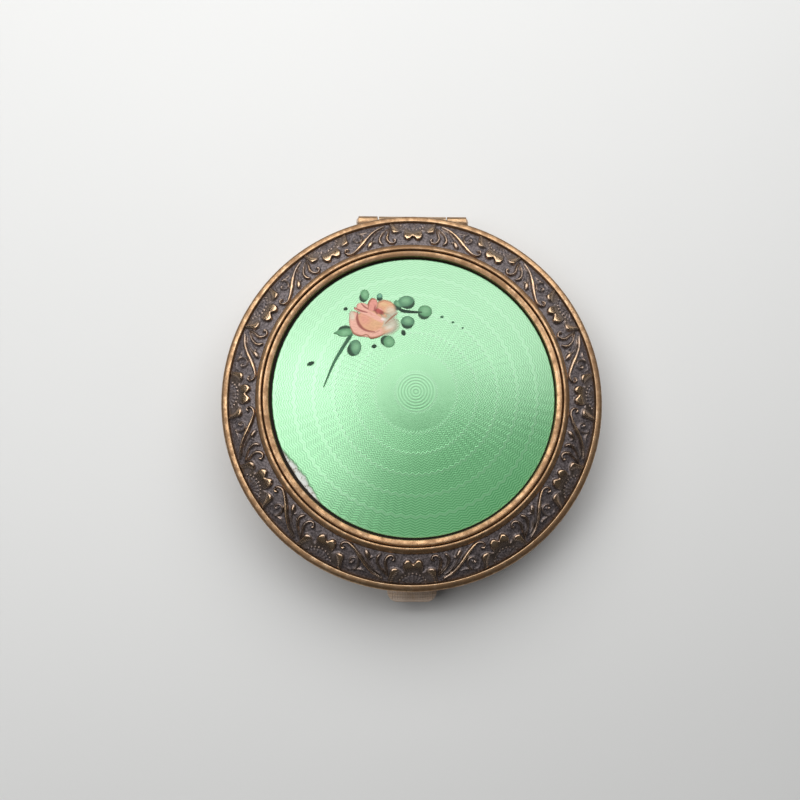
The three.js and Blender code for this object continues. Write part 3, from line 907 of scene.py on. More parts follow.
class PILLBOX_OT_lid_shell(bpy.types.Operator):
    """Make the lid's rolled rim, skirt, ridge and the seat under the plaque"""

    bl_idname = "pillbox.lid_shell"
    bl_label = "Lid Shell"

    def execute(self, context):
        s = sizes()
        rim_z, rim_in = in_mm(s.rim_top), in_mm(s.rim_inner)
        skirt = LID_R - SHEET
        seat_r = in_mm(s.seat_radius)
        ridge_out = in_mm(s.border_inner)
        seat_z = BEZEL_LOW.z - 0.05
        bottom = SHELL_LOW.z
        border_z = border_height(ridge_out)
        section = [
            (LID_R - 0.12, bottom, 0.18),
            (LID_R - 0.12, rim_z - 1.05, 0.1),
            (LID_R, rim_z - 0.85, 0.15),
            (LID_R, rim_z - 0.38, 0.3),
            (LID_R - 0.32, rim_z - 0.08, 0.3),
            (rim_in + 0.12, rim_z + 0.04, 0.12),
            (rim_in - 0.05, rim_z - GROUND_DEPTH, 0.05),
            (MID_BORDER_R, border_height(MID_BORDER_R) - GROUND_DEPTH, 1.0),
            (ridge_out + 0.1, border_z - GROUND_DEPTH, 0.05),
            (ridge_out, border_z - 0.06, 0.08),
            (ridge_out - 0.22, border_z + 0.16, 0.25),
            (ridge_out - 0.55, RIDGE_Z, 0.30),
            (seat_r + 0.10, RIDGE_Z, 0.12),
            (seat_r + 0.02, RIDGE_Z - 0.20, 0.08),
            (seat_r + 0.02, seat_z, 0.05),
            (SEAT_INNER_R, seat_z, 0.1),
            (SEAT_INNER_R, seat_z - SHEET, 0.1),
            (seat_r + SHEET, seat_z - SHEET, 0.3),
            (seat_r + SHEET, border_height(seat_r + SHEET) - 1.2, 0.3),
            (24.6, border_height(24.6) - 1.1, 1.0),
            (skirt, rim_z - SHEET, 0.5),
            (skirt, bottom, 0.15),
        ]
        shell = turned("lid_rim_and_skirt", section, gilt_brass())
        cut(shell, [hinge_cutter()])
        finish_piece(shell, "lid", ["lid_shell"])
        return {"FINISHED"}


# ---- lid: floral border ----------------------------------------------------------------------

ROWS, COLUMNS = 52, 140  # points across and along one cell of the border
CELL_DEGREES = 30.0
MM_PER_DEGREE = 0.436
BAND_WIDTH = 4.6
CELL_WALL = 0.55  # depth of the cell's plain walls
CELL_SINK = 0.30  # how far the pattern's ground is pressed in
STIPPLE = 0.012

# A flower's outline: distance from its heart at angles away from its middle line.
PETAL_ANGLES = (0, 4, 8, 12, 17, 22, 26, 29, 31.5, 34, 38, 42, 46, 50, 54, 60, 66, 74, 82, 90)
PETAL_REACH = (3.45, 3.75, 4.1, 4.22, 4.12, 3.85, 3.45, 2.8, 2.5, 2.6, 3.1, 3.6, 3.85, 3.98,
               4.0, 3.75, 3.55, 3.45, 3.42, 3.45)
HEART_V = 1.07
BEAD_REACH = 1.88


def smooth_curve(points, samples=14):
    """A Catmull-Rom curve through given points."""
    points = np.array(points, float)
    padded = np.vstack([2 * points[0] - points[1], points, 2 * points[-1] - points[-2]])
    out = []
    for i in range(len(points) - 1):
        p0, p1, p2, p3 = padded[i:i + 4]
        for t in np.linspace(0, 1, samples, endpoint=False):
            out.append(0.5 * (2 * p1 + (p2 - p0) * t + (2 * p0 - 5 * p1 + 4 * p2 - p3) * t ** 2
                              + (3 * p1 - p0 - 3 * p2 + p3) * t ** 3))
    out.append(points[-1])
    return np.array(out)


class Relief:
    """A height field over one cell, with u in degrees from the first flower and v from the
    ridge (0) to the rim (1). It is modelled by strokes and petals, and the highest one wins."""

    def __init__(self, u, v):
        self.x = u * MM_PER_DEGREE
        self.y = v * BAND_WIDTH
        self.height = np.zeros_like(self.x)

    def raise_to(self, height):
        self.height = np.maximum(self.height, height)

    def stroke(self, points, widths, height):
        """A rounded stem along a curve. widths are half widths at its points, in mm."""
        path = [(u * MM_PER_DEGREE, v * BAND_WIDTH) for u, v in points]
        curve = smooth_curve(path)
        along = np.linspace(0, len(widths) - 1, len(curve))
        half = np.interp(along, np.arange(len(widths)), widths)
        a, b = curve[:-1], curve[1:]
        run = b - a
        size = np.maximum((run ** 2).sum(1), 1e-9)
        px, py = self.x[..., None], self.y[..., None]
        t = ((px - a[:, 0]) * run[:, 0] + (py - a[:, 1]) * run[:, 1]) / size
        t = np.clip(t, 0, 1)
        gap = np.hypot(px - a[:, 0] - t * run[:, 0], py - a[:, 1] - t * run[:, 1])
        width = half[:-1] + (half[1:] - half[:-1]) * t
        ratio = gap / width
        nearest = ratio.argmin(-1)[..., None]
        ratio = np.take_along_axis(ratio, nearest, -1)[..., 0]
        self.raise_to(height * np.sqrt(np.clip(1 - ratio ** 2, 0, 1)))

    def petal(self, u, v, half_u, half_v, height, turn=0.0):
        """A domed oval leaf, its half sizes in mm."""
        dx = self.x - u * MM_PER_DEGREE
        dy = self.y - v * BAND_WIDTH
        c, s = math.cos(turn), math.sin(turn)
        a, b = (dx * c + dy * s) / half_u, (dy * c - dx * s) / half_v
        body = np.sqrt(np.clip(1 - a ** 2 - b ** 2, 0, 1))
        self.raise_to(height * body)


def flower(relief, u):
    """A flower whose heart is at the rim: stamens, beads, a notched petal and two cupped ones."""
    dx = np.abs(relief.x - u * MM_PER_DEGREE)
    dy = HEART_V * BAND_WIDTH - relief.y
    angle = np.degrees(np.arctan2(dx, dy))
    reach = np.hypot(dx, dy)
    outline = np.interp(angle, PETAL_ANGLES, PETAL_REACH)
    edge = np.clip((outline - reach) / 0.30, 0, 1)
    rounded = np.sqrt(1 - (1 - edge) ** 2)
    rise = np.interp(reach, (1.9, 2.3, 3.1, 3.7), (0.30, 0.42, 0.86, 1.0))
    cupped = np.clip((angle - 30) / 8, 0, 1) * np.exp(-((reach - 2.75) / 0.42) ** 2)
    veins = 0.10 * np.cos(np.radians(angle * 62)) * np.exp(-((reach - 2.65) / 0.45) ** 2)
    petals = rounded * (rise * (1 - 0.42 * cupped) + veins)
    relief.raise_to(np.where(reach > 1.9, petals, 0))
    spokes = 0.5 + 0.5 * np.cos(np.radians(angle * 18))
    stamens = (0.12 + 0.26 * spokes) * np.clip((1.75 - reach) / 0.25, 0, 1) * (reach > 0.35)
    relief.raise_to(stamens)
    for bead in np.radians(np.arange(-64, 65, 16)):
        relief.petal(u + BEAD_REACH * math.sin(bead) / MM_PER_DEGREE,
                     HEART_V - BEAD_REACH * math.cos(bead) / BAND_WIDTH, 0.18, 0.18, 0.72)


def border_relief(u, v):
    """Heights of the floral pattern, 0 to 1, over one cell between two flowers."""
    relief = Relief(u, v)
    flower(relief, 0.0)
    flower(relief, CELL_DEGREES)
    # Two C-shaped scrolls beside the first flower.
    relief.stroke([(8.0, 0.79), (8.3, 0.64), (8.8, 0.49), (9.3, 0.36), (9.3, 0.27), (8.9, 0.17),
                   (8.2, 0.11), (7.3, 0.10), (6.6, 0.15), (6.4, 0.22), (6.9, 0.25)],
                  [0.09, 0.17, 0.22, 0.25, 0.25, 0.23, 0.20, 0.18, 0.18, 0.20, 0.20], 0.86)
    relief.petal(6.7, 0.22, 0.24, 0.22, 0.80)
    relief.stroke([(8.7, 0.74), (10.1, 0.61), (11.0, 0.52), (11.8, 0.39), (12.1, 0.30),
                   (12.0, 0.20), (11.4, 0.11)],
                  [0.09, 0.16, 0.21, 0.24, 0.27, 0.30, 0.18], 0.84)
    # A bud on its stem.
    relief.stroke([(10.0, 0.77), (12.0, 0.66), (13.3, 0.55), (14.3, 0.45), (15.0, 0.36)],
                  [0.09, 0.13, 0.13, 0.13, 0.16], 0.66)
    relief.petal(15.7, 0.22, 0.86, 0.40, 0.88, -0.88)
    relief.petal(14.1, 0.28, 0.36, 0.15, 0.66, 0.5)
    # The long S-shaped scroll, which curls back at the second flower, and its second line.
    relief.stroke([(9.5, 0.87), (13.0, 0.71), (16.0, 0.50), (18.0, 0.34), (20.0, 0.20),
                   (22.0, 0.10), (23.5, 0.07), (24.8, 0.12), (25.3, 0.22), (24.7, 0.31),
                   (23.9, 0.27)],
                  [0.10, 0.20, 0.31, 0.37, 0.30, 0.24, 0.20, 0.18, 0.17, 0.19, 0.21], 0.95)
    relief.stroke([(9.5, 0.93), (12.5, 0.80), (14.5, 0.68), (16.3, 0.57)],
                  [0.06, 0.12, 0.12, 0.05], 0.60)
    # A volute above it, with a leaf for its tail.
    relief.stroke([(18.8, 0.83), (17.9, 0.73), (17.7, 0.63), (17.9, 0.53), (18.6, 0.46),
                   (19.5, 0.44), (20.3, 0.49), (20.7, 0.58), (20.4, 0.65), (19.8, 0.63),
                   (19.5, 0.57)],
                  [0.10, 0.14, 0.16, 0.16, 0.15, 0.14, 0.14, 0.15, 0.16, 0.14, 0.13], 0.70)
    relief.stroke([(15.0, 0.77), (16.6, 0.76), (18.9, 0.84)], [0.06, 0.17, 0.08], 0.62)
    relief.stroke([(19.2, 0.88), (21.0, 0.85), (21.9, 0.70)], [0.06, 0.10, 0.05], 0.45)
    # Fine strands where the scrolls spring from the flower.
    for start, end in ((0.98, 0.90), (0.93, 0.83), (0.70, 0.44)):
        relief.stroke([(8.3, start), (9.9, (start + end) / 2), (11.4, end)],
                      [0.05, 0.08, 0.04], 0.36)
    relief.stroke([(11.5, 0.47), (12.9, 0.40), (13.3, 0.30)], [0.04, 0.08, 0.05], 0.40)
    return relief.height


def soften(field, rounds):
    """Blurs a field a little, once for each round."""
    for _ in range(rounds):
        padded = np.pad(field, 1, mode="edge")
        field = (4 * field + padded[:-2, 1:-1] + padded[2:, 1:-1] + padded[1:-1, :-2]
                 + padded[1:-1, 2:]) / 8
    return field


def border_cell():
    """One cell of the border as an open-ended strip: relief on top, plain walls and underside."""
    s = sizes()
    outer, inner = in_mm(s.rim_inner), in_mm(s.border_inner)
    u, v = np.meshgrid(np.linspace(0, CELL_DEGREES, COLUMNS + 1), np.linspace(0, 1, ROWS + 1))
    height = soften(border_relief(u, v), 1)
    radius = inner + (outer - inner) * v
    angle = np.radians(u)
    slope = np.gradient(border_height(np.linspace(inner, outer, ROWS + 1)),
                        (outer - inner) / ROWS)[:, None]
    size = np.sqrt(1 + slope ** 2)
    fade = np.clip(np.minimum(v, 1 - v) / 0.05, 0, 1) ** 0.5
    stipple = STIPPLE * np.sin(u * 41.0) * np.sin(v * 97.0) * np.clip(1 - height * 4, 0, 1)
    lift = height * in_mm(s.relief_depth) * (0.35 + 0.65 * fade) - CELL_SINK + stipple * fade
    rise = border_height(radius) + lift / size
    spread = radius - lift * slope / size
    top = np.stack([spread * np.sin(angle), spread * np.cos(angle), rise], -1)
    rows = [top]
    for edge_radius in (outer, inner):
        line = angle[:1]
        low = np.full_like(line, border_height(edge_radius) - CELL_WALL)
        rows.append(np.stack([edge_radius * np.sin(line), edge_radius * np.cos(line), low], -1))
    points = np.concatenate(rows, 0)
    total = len(points)
    faces = grid_faces(total, COLUMNS + 1, wrap_rows=True)
    mesh = bpy.data.meshes.new("border_cell")
    mesh.from_pydata((points.reshape(-1, 3) * MM).tolist(), [], faces[:, ::-1].tolist())
    level = np.concatenate([height, np.zeros((2, COLUMNS + 1))], 0)
    store(mesh, "relief", level)
    return link_mesh("floral_border", mesh, antiqued_brass())


class PILLBOX_OT_border(bpy.types.Operator):
    """Make the stamped floral border and repeat its pattern round the lid"""

    bl_idname = "pillbox.border"
    bl_label = "Floral Border"

    def execute(self, context):
        s = sizes()
        border = border_cell()
        run_tree(border, ring_tree(), **{
            "Cells": s.border_cells, "Cells per Quarter": s.cells_per_quarter,
            "Material": antiqued_brass(),
        })
        finish_piece(border, "lid", ["lid_shell"], sharp=75.0)
        return {"FINISHED"}


# ---- lid: bezel and plaque -------------------------------------------------------------------

BEZEL_LIP_R = 20.78
BEZEL_LIP_Z = 10.35


class PILLBOX_OT_bezel(bpy.types.Operator):
    """Make the bezel ring that holds the plaque"""

    bl_idname = "pillbox.bezel"
    bl_label = "Bezel"

    def execute(self, context):
        outer, crest = BEZEL_HIGH.x, BEZEL_HIGH.z
        lip, lip_z = BEZEL_LIP_R, BEZEL_LIP_Z
        flange = PLAQUE_HIGH.x + 0.05
        section = [
            (outer, BEZEL_LOW.z, 0.03), (outer, crest - 0.28, 0.1), (outer - 0.16, crest, 0.14),
            (lip + 0.50, crest, 0.2), (lip + 0.05, crest - 0.15, 0.1), (lip, crest - 0.38, 0.06),
            (lip, lip_z, 0.02),
            (flange, lip_z, 0.02), (flange, BEZEL_LOW.z, 0.03),
        ]
        bezel = turned("plaque_bezel_ring", section, gilt_brass())
        finish_piece(bezel, "lid", ["plaque_bezel"])
        return {"FINISHED"}


PLAQUE_SHIFT = 0.12  # how far the plaque sits to one side in its bezel
CHIP_CLOCK = 233.5
CHIP_HALF = 14.5
CHIP_WIDTH = 1.1
CHIP_DEPTH = 0.14
FLANGE_HEIGHT = 0.35


def dome_height(radius):
    """Height of the enamel's surface at a distance from the axis."""
    edge = in_mm(sizes().plaque_edge)
    rise = PLAQUE_HIGH.z - edge
    return edge + rise * (1 - (radius / in_mm(sizes().plaque_radius)) ** 2)


def chip_cover(x, y):
    """How far the enamel is chipped away at a place, 0 to 1: a ragged crescent at the edge."""
    radius = np.hypot(x, y)
    clock = np.degrees(np.arctan2(x, y)) % 360
    along = (clock - CHIP_CLOCK) / CHIP_HALF
    crescent = CHIP_WIDTH * np.clip(1 - np.abs(along) ** 1.7, 0, 1)
    ragged = 0.08 * np.sin(clock * 0.9) + 0.05 * np.sin(clock * 2.3 + 1)
    depth = crescent * (1 + ragged)
    inward = in_mm(sizes().plaque_radius) - radius
    return np.clip((depth - inward) / 0.30, 0, 1) * (np.abs(along) < 1)


class PILLBOX_OT_plaque(bpy.types.Operator):
    """Make the domed enamel plaque, chipped at one edge"""

    bl_idname = "pillbox.plaque"
    bl_label = "Enamel Plaque"

    def execute(self, context):
        edge_r = in_mm(sizes().plaque_radius)
        flange = PLAQUE_HIGH.x - PLAQUE_SHIFT
        low = PLAQUE_LOW.z
        corner = 0.18
        top_r = np.linspace(0, edge_r - corner, 110)
        top = np.stack([top_r, dome_height(top_r)], 1)
        turn = np.radians(np.linspace(12, 90, 6))
        edge_z = dome_height(edge_r - corner) - corner
        corner_points = np.stack([edge_r - corner + corner * np.sin(turn),
                                  edge_z + corner * np.cos(turn)], 1)
        under_r = np.linspace(edge_r - 0.85, 0, 8)
        under_z = low + (PLAQUE_HIGH.z - 0.85 - low) * (1 - (under_r / (edge_r - 0.85)) ** 2)
        flange_top = low + FLANGE_HEIGHT
        side = [[edge_r, flange_top], [flange, flange_top], [flange, low]]
        section = np.vstack([top, corner_points, side, np.stack([under_r, under_z], 1)])
        plaque = turn_mesh("enamel_dome", section, mint_enamel(), closed=False, facets=540)
        mesh = plaque.data
        points = np.zeros(len(mesh.vertices) * 3)
        mesh.vertices.foreach_get("co", points)
        points = points.reshape(-1, 3)
        x, y, z = (points / MM).T
        chip = chip_cover(x, y) * (z > low + 0.5)
        rough = 0.03 * np.sin(x * 9.0) * np.sin(y * 11.0)
        points[:, 2] -= chip * (CHIP_DEPTH + rough) * MM
        points[:, 0] += PLAQUE_SHIFT * MM
        mesh.vertices.foreach_set("co", points.ravel())
        mesh.update()
        store(mesh, "chip", chip)
        # Marks the flange at the foot of the groove for dark grime and painted shade.
        store(mesh, "groove_grime_and_shade", np.clip((low + 0.62 - z) / 0.12, 0, 1))
        finish_piece(plaque, "lid", ["enamel_plaque"])
        return {"FINISHED"}


# ---- lid: painted rose -----------------------------------------------------------------------

ROSE_AT = (-5.72, 10.93)  # middle of the flower, in mm from the box's axis
PAINT_STEP = 0.065
PINK = (0.60, 0.255, 0.205)
PALE_PINK = (0.66, 0.36, 0.28)
PEACH = (0.60, 0.32, 0.185)
CREAM = (0.56, 0.52, 0.40)
ROSE_DARK = (0.24, 0.055, 0.045)
HEART = (0.40, 0.075, 0.07)
BROWN = (0.27, 0.10, 0.05)
LEAF = (0.11, 0.29, 0.14)
LEAF_LIGHT = (0.22, 0.46, 0.25)
LEAF_GREY = (0.085, 0.22, 0.12)
LEAF_DARK = (0.010, 0.038, 0.018)
LEAF_BLUE = (0.09, 0.27, 0.19)
STEM = (0.045, 0.15, 0.075)
YELLOW = (0.60, 0.42, 0.22)
OCHRE = (0.58, 0.36, 0.19)
GLINT = (0.74, 0.66, 0.63)
GREY_CREAM = (0.58, 0.60, 0.52)
FILM_THICKNESS = 0.01


class Canvas:
    """A field of paint: strokes laid one over another leave their colour and cover."""

    def __init__(self, low, high):
        xs = np.arange(low[0], high[0], PAINT_STEP)
        ys = np.arange(low[1], high[1], PAINT_STEP)
        self.x, self.y = np.meshgrid(xs, ys)
        self.colour = np.tile(np.array(LEAF_LIGHT, float), (*self.x.shape, 1))
        self.cover = np.zeros_like(self.x)

    def lay(self, mask, tint):
        mask = mask[..., None]
        total = mask[..., 0] + self.cover * (1 - mask[..., 0])
        kept = np.where(self.cover[..., None] < 0.02, np.array(tint), self.colour)
        self.colour = kept * (1 - mask) + np.array(tint) * mask
        self.cover = total

    def dab(self, at, half, tint, turn=0.0, cover=1.0, soft=0.25, power=2.0):
        """An oval touch of the brush."""
        dx, dy = self.x - at[0], self.y - at[1]
        c, s = math.cos(math.radians(turn)), math.sin(math.radians(turn))
        a, b = (dx * c + dy * s) / half[0], (dy * c - dx * s) / half[1]
        reach = (np.abs(a) ** power + np.abs(b) ** power) ** (1 / power)
        self.lay(cover * np.clip((1 - reach) / soft, 0, 1), tint)

    def line(self, points, widths, tint, cover=1.0, soft=0.4):
        """A drawn stroke of changing half width."""
        curve = smooth_curve(points, 10)
        half = np.interp(np.linspace(0, len(widths) - 1, len(curve)), np.arange(len(widths)),
                         widths)
        mask = np.zeros_like(self.x)
        for (x0, y0), (x1, y1), h in zip(curve[:-1], curve[1:], half):
            run = max((x1 - x0) ** 2 + (y1 - y0) ** 2, 1e-9)
            t = np.clip(((self.x - x0) * (x1 - x0) + (self.y - y0) * (y1 - y0)) / run, 0, 1)
            gap = np.hypot(self.x - x0 - t * (x1 - x0), self.y - y0 - t * (y1 - y0))
            mask = np.maximum(mask, np.clip((1 - gap / h) / soft, 0, 1))
        self.lay(mask * cover, tint)


def paint_leaf(canvas, at, half, tint, turn, dark_side):
    """A round leaf: body, a lighter middle, and a dark rim on one side."""
    canvas.dab(at, half, tint, turn, 0.95, 0.18)
    reach = np.array([math.cos(math.radians(dark_side)), math.sin(math.radians(dark_side))])
    middle = np.array(at) - reach * 0.22 * min(half)
    canvas.dab(middle, (half[0] * 0.72, half[1] * 0.72), LEAF_LIGHT, turn, 0.65, 0.7)
    steps = np.radians(np.linspace(-62, 62, 7)) + math.radians(dark_side)
    c, s = math.cos(math.radians(turn)), math.sin(math.radians(turn))
    rim = []
    for angle in steps:
        local = angle - math.radians(turn)
        px, py = half[0] * 0.86 * math.cos(local), half[1] * 0.86 * math.sin(local)
        rim.append((at[0] + px * c - py * s, at[1] + px * s + py * c))
    canvas.line(rim, [0.08, 0.28, 0.38, 0.28, 0.08], LEAF_DARK, 0.95, 0.85)


def paint_foliage(canvas):
    """Leaves, buds, twig, stem and the trail of dots, before the flower covers them."""
    canvas.line([(-3.3, -2.4), (-4.5, -4.4), (-5.8, -6.8), (-7.1, -10.1)],
                [0.30, 0.30, 0.22, 0.09], STEM, 0.85, 0.6)
    canvas.line([(-3.5, -2.8), (-4.4, -4.3)], [0.34, 0.12], LEAF_DARK, 0.6, 0.9)
    paint_leaf(canvas, (-1.43, 3.70), (0.70, 0.98), LEAF, 0, 235)
    paint_leaf(canvas, (0.80, 3.50), (0.42, 0.50), LEAF_BLUE, 0, 270)
    paint_leaf(canvas, (3.45, 2.20), (0.55, 0.75), LEAF_GREY, 35, 250)
    paint_leaf(canvas, (4.71, 2.62), (1.26, 1.00), LEAF_GREY, 5, 300)
    paint_leaf(canvas, (7.41, 1.09), (1.07, 1.05), LEAF, 20, 250)
    canvas.line([(3.2, 1.9), (4.1, 1.25), (5.4, 1.05), (6.9, 1.0)], [0.12, 0.30, 0.24, 0.14],
                LEAF_DARK, 0.9, 0.5)
    paint_leaf(canvas, (4.90, -0.49), (1.04, 0.92), LEAF_GREY, 0, 262)
    paint_leaf(canvas, (2.10, -3.50), (1.02, 0.90), LEAF, -35, 160)
    paint_leaf(canvas, (-2.74, -4.40), (0.98, 1.26), LEAF_GREY, -8, 215)
    canvas.line([(-3.35, -3.9), (-3.4, -4.7), (-2.9, -5.4)], [0.2, 0.32, 0.2], LEAF_DARK, 0.7, 0.9)
    paint_leaf(canvas, (-4.20, -1.95), (1.25, 0.78), LEAF, 8, 95)
    canvas.line([(-5.1, -2.0), (-5.8, -2.15)], [0.35, 0.04], LEAF, 0.9, 0.5)
    for at, half in (((-4.18, 1.60), (0.36, 0.30)), ((0.06, -4.20), (0.42, 0.34)),
                     ((4.29, -2.17), (0.36, 0.50)), ((-9.07, -6.63), (0.66, 0.34))):
        canvas.dab(at, half, LEAF_DARK, 20, 0.92, 0.5)
    for at, size in (((9.9, 0.32), 0.30), ((11.5, -0.47), 0.25), ((12.9, -1.30), 0.20)):
        canvas.dab(at, (size, size * 0.8), STEM, 0, 0.85, 0.6)


def paint_rose(canvas):
    """The flower: outer petals, the bowl, the folded lip, the heart, then the drawn edges."""
    # Outer petals, palest at the right.
    canvas.dab((1.9, -1.0), (2.0, 1.7), CREAM, 10, 0.75, 0.5)
    canvas.dab((1.0, -1.95), (2.2, 0.75), PEACH, 18, 0.8, 0.45)
    canvas.dab((-0.9, -1.75), (2.5, 1.15), PALE_PINK, -8, 1.0, 0.22)
    canvas.dab((-2.7, -0.6), (0.95, 1.9), PALE_PINK, 8, 1.0, 0.25)
    canvas.dab((-3.2, 0.5), (0.5, 0.9), CREAM, 10, 0.8, 0.5)
    # The petals behind: the folded one on the left, two at the top, the yellow one on the right.
    canvas.dab((-1.6, 1.75), (1.1, 0.75), PALE_PINK, -25, 1.0, 0.25)
    canvas.dab((-0.25, 2.15), (0.75, 1.15), PINK, -15, 1.0, 0.22)
    canvas.dab((1.75, 1.85), (1.55, 1.1), PEACH, -22, 1.0, 0.3)
    canvas.dab((2.5, 1.1), (1.1, 1.0), CREAM, -40, 0.75, 0.6)
    canvas.dab((1.5, 2.2), (0.9, 0.4), YELLOW, -15, 0.7, 0.7)
    # The bowl, pinker at the left.
    canvas.dab((-0.55, -0.35), (2.15, 1.7), PEACH, -12, 1.0, 0.14)
    canvas.dab((-1.35, 0.0), (1.15, 1.35), PINK, -10, 0.65, 0.7)
    canvas.dab((0.35, -0.75), (1.2, 0.75), OCHRE, 15, 0.6, 0.8)
    # The lip that folds across the bowl.
    canvas.line([(-2.75, 1.62), (-1.7, 1.22), (-0.5, 0.72), (0.55, 0.05), (1.15, -0.45)],
                [0.18, 0.42, 0.50, 0.42, 0.20], PALE_PINK, 1.0, 0.3)
    canvas.line([(-2.5, 1.55), (-1.2, 1.12), (0.2, 0.42)], [0.08, 0.16, 0.08], PINK, 0.7, 0.8)
    # The heart.
    canvas.dab((0.75, 1.2), (0.80, 0.62), HEART, -30, 0.95, 0.6)
    canvas.dab((1.1, 0.95), (0.46, 0.36), ROSE_DARK, -20, 0.95, 0.7)
    canvas.line([(0.15, 2.0), (0.1, 1.4), (0.45, 0.8)], [0.12, 0.24, 0.18], ROSE_DARK, 0.8, 0.8)
    canvas.line([(0.55, 1.75), (0.95, 1.5), (1.35, 1.25)], [0.06, 0.13, 0.06], PALE_PINK, 0.8, 0.6)
    # Highlights where the lip meets the right petals.
    canvas.dab((1.35, -0.1), (0.52, 0.34), GLINT, -20, 0.85, 0.7)
    canvas.dab((2.2, -1.35), (0.95, 0.45), GREY_CREAM, 25, 0.7, 0.8)
    canvas.dab((1.55, 0.45), (0.55, 0.40), PEACH, -30, 0.9, 0.7)
    # Drawn edges.
    canvas.line([(-2.35, 1.05), (-2.45, 0.1), (-2.1, -0.95), (-1.2, -1.75), (0.1, -2.0)],
                [0.08, 0.26, 0.32, 0.22, 0.08], ROSE_DARK, 0.9, 0.6)
    for points, widths in (([(-2.85, 1.75), (-1.9, 1.25), (-1.0, 0.98)], [0.12, 0.19, 0.08]),
                           ([(-1.85, 2.35), (-1.35, 1.85), (-0.85, 1.5)], [0.10, 0.18, 0.09])):
        canvas.line(points, widths, ROSE_DARK, 0.9, 0.6)
    canvas.line([(-0.85, 1.65), (-0.75, 2.5), (-0.35, 3.1), (0.1, 3.0)], [0.08, 0.17, 0.17, 0.08],
                BROWN, 0.9, 0.6)
    canvas.line([(0.6, 2.4), (1.4, 2.75), (2.4, 2.5)], [0.05, 0.09, 0.04], BROWN, 0.5, 0.8)
    canvas.line([(3.35, 0.85), (2.6, 0.2), (1.65, -0.75)], [0.08, 0.20, 0.08], BROWN, 0.9, 0.6)
    canvas.line([(3.0, -0.1), (2.2, -0.6), (1.5, -0.95)], [0.04, 0.08, 0.04], BROWN, 0.5, 0.7)
    canvas.line([(-3.35, -1.3), (-2.9, -2.2), (-1.9, -2.6), (-1.0, -2.45), (-0.4, -2.95),
                 (0.7, -2.75), (1.6, -2.2)], [0.07, 0.15, 0.16, 0.11, 0.17, 0.13, 0.06],
                BROWN, 0.85, 0.6)
    canvas.line([(-0.9, -2.0), (0.1, -2.15), (0.9, -1.75)], [0.05, 0.12, 0.05], BROWN, 0.6, 0.7)


class PILLBOX_OT_rose(bpy.types.Operator):
    """Paint the rose, its leaves and its stem on the enamel, as a thin raised film"""

    bl_idname = "pillbox.rose"
    bl_label = "Painted Rose"

    def execute(self, context):
        canvas = Canvas((-10.2, -10.6), (13.4, 4.9))
        paint_foliage(canvas)
        paint_rose(canvas)
        x, y = canvas.x + ROSE_AT[0], canvas.y + ROSE_AT[1]
        rows, columns = x.shape
        film = 0.012 + 0.022 * np.clip(soften(canvas.cover, 2), 0, 1)
        z = dome_height(np.hypot(x, y)) + film
        faces = grid_faces(rows, columns)
        painted = canvas.cover.ravel()[faces].max(1) > 0.03
        mesh = bpy.data.meshes.new("painted_rose")
        points = np.stack([x, y, z], -1).reshape(-1, 3)
        mesh.from_pydata((points * MM).tolist(), [], faces[painted].tolist())
        tint = np.concatenate([canvas.colour, canvas.cover[..., None]], -1)
        store(mesh, "paint", tint, "FLOAT_COLOR")
        rose = link_mesh("painted_rose", mesh, rose_paint())
        body = bmesh.new()
        body.from_mesh(mesh)
        loose = [v for v in body.verts if not v.link_faces]
        bmesh.ops.delete(body, geom=loose, context="VERTS")
        body.to_mesh(mesh)
        body.free()
        solid = rose.modifiers.new("film", "SOLIDIFY")
        solid.thickness = FILM_THICKNESS * MM
        solid.offset = -1.0
        flatten_modifiers(rose)
        finish_piece(rose, "lid", sharp=80.0)
        return {"FINISHED"}


# ---- lid: inside -----------------------------------------------------------------------------

class PILLBOX_OT_lid_inside(bpy.types.Operator):
    """Make the polished plate inside the lid, its ring and the keeper"""

    bl_idname = "pillbox.lid_inside"
    bl_label = "Inside of the Lid"

    def execute(self, context):
        edge_r = LINER_HIGH.x
        thick = 0.35
        rise = LINER_HIGH.z - thick - LINER_LOW.z
        radius = np.linspace(0, edge_r, 30)
        under = np.stack([radius, LINER_LOW.z + rise * (1 - (radius / edge_r) ** 2)], 1)
        over = under[::-1] + np.array([0.0, thick])
        section = np.vstack([under, over])
        plate = turn_mesh("polished_liner", section, polished_brass(), closed=False)
        finish_piece(plate, "lid", ["lid_liner_plate"])

        outer, low, high = RING_HIGH.x, RING_LOW.z, RING_HIGH.z
        section = [
            (edge_r - 0.6, low, 0.08), (outer, low, 0.1), (outer, low + 0.45, 0.1),
            (edge_r + 0.1, high, 0.05), (edge_r + 0.1, LINER_LOW.z - 0.05, 0.03),
            (edge_r - 0.6, LINER_LOW.z - 0.05, 0.04),
        ]
        ring = turned("liner_snap_ring", section, gilt_brass())
        finish_piece(ring, "lid", ["liner_retaining_ring"])

        keeper = refined_copy("lid_keeper", aged_brass(), "catch_keeper")
        finish_piece(keeper, "lid", ["lid_keeper"])
        return {"FINISHED"}


# ---- hinge -----------------------------------------------------------------------------------

def along_hinge(obj):
    """Lays an object turned about Z along the hinge's axis."""
    obj.data.transform(Matrix.Rotation(math.pi / 2, 4, "Y"))
    obj.data.transform(Matrix.Translation(HINGE * MM))


KNUCKLE_BORE = 0.52
LID_KNUCKLE_R = 0.86
BASE_KNUCKLE_R = 0.92
KNUCKLE_GAP = 0.2
PIN_R, PIN_HEAD_R, PIN_TIP_R = 0.45, 0.62, 0.34


def knuckle(start, end, outer):
    """A tube along the hinge's axis, with soft ends."""
    bore = KNUCKLE_BORE
    section = [(bore, start, 0.04), (outer, start, 0.1), (outer, end, 0.1), (bore, end, 0.04)]
    tube = turned("tube", section, gilt_brass(), facets=64)
    along_hinge(tube)
    return tube


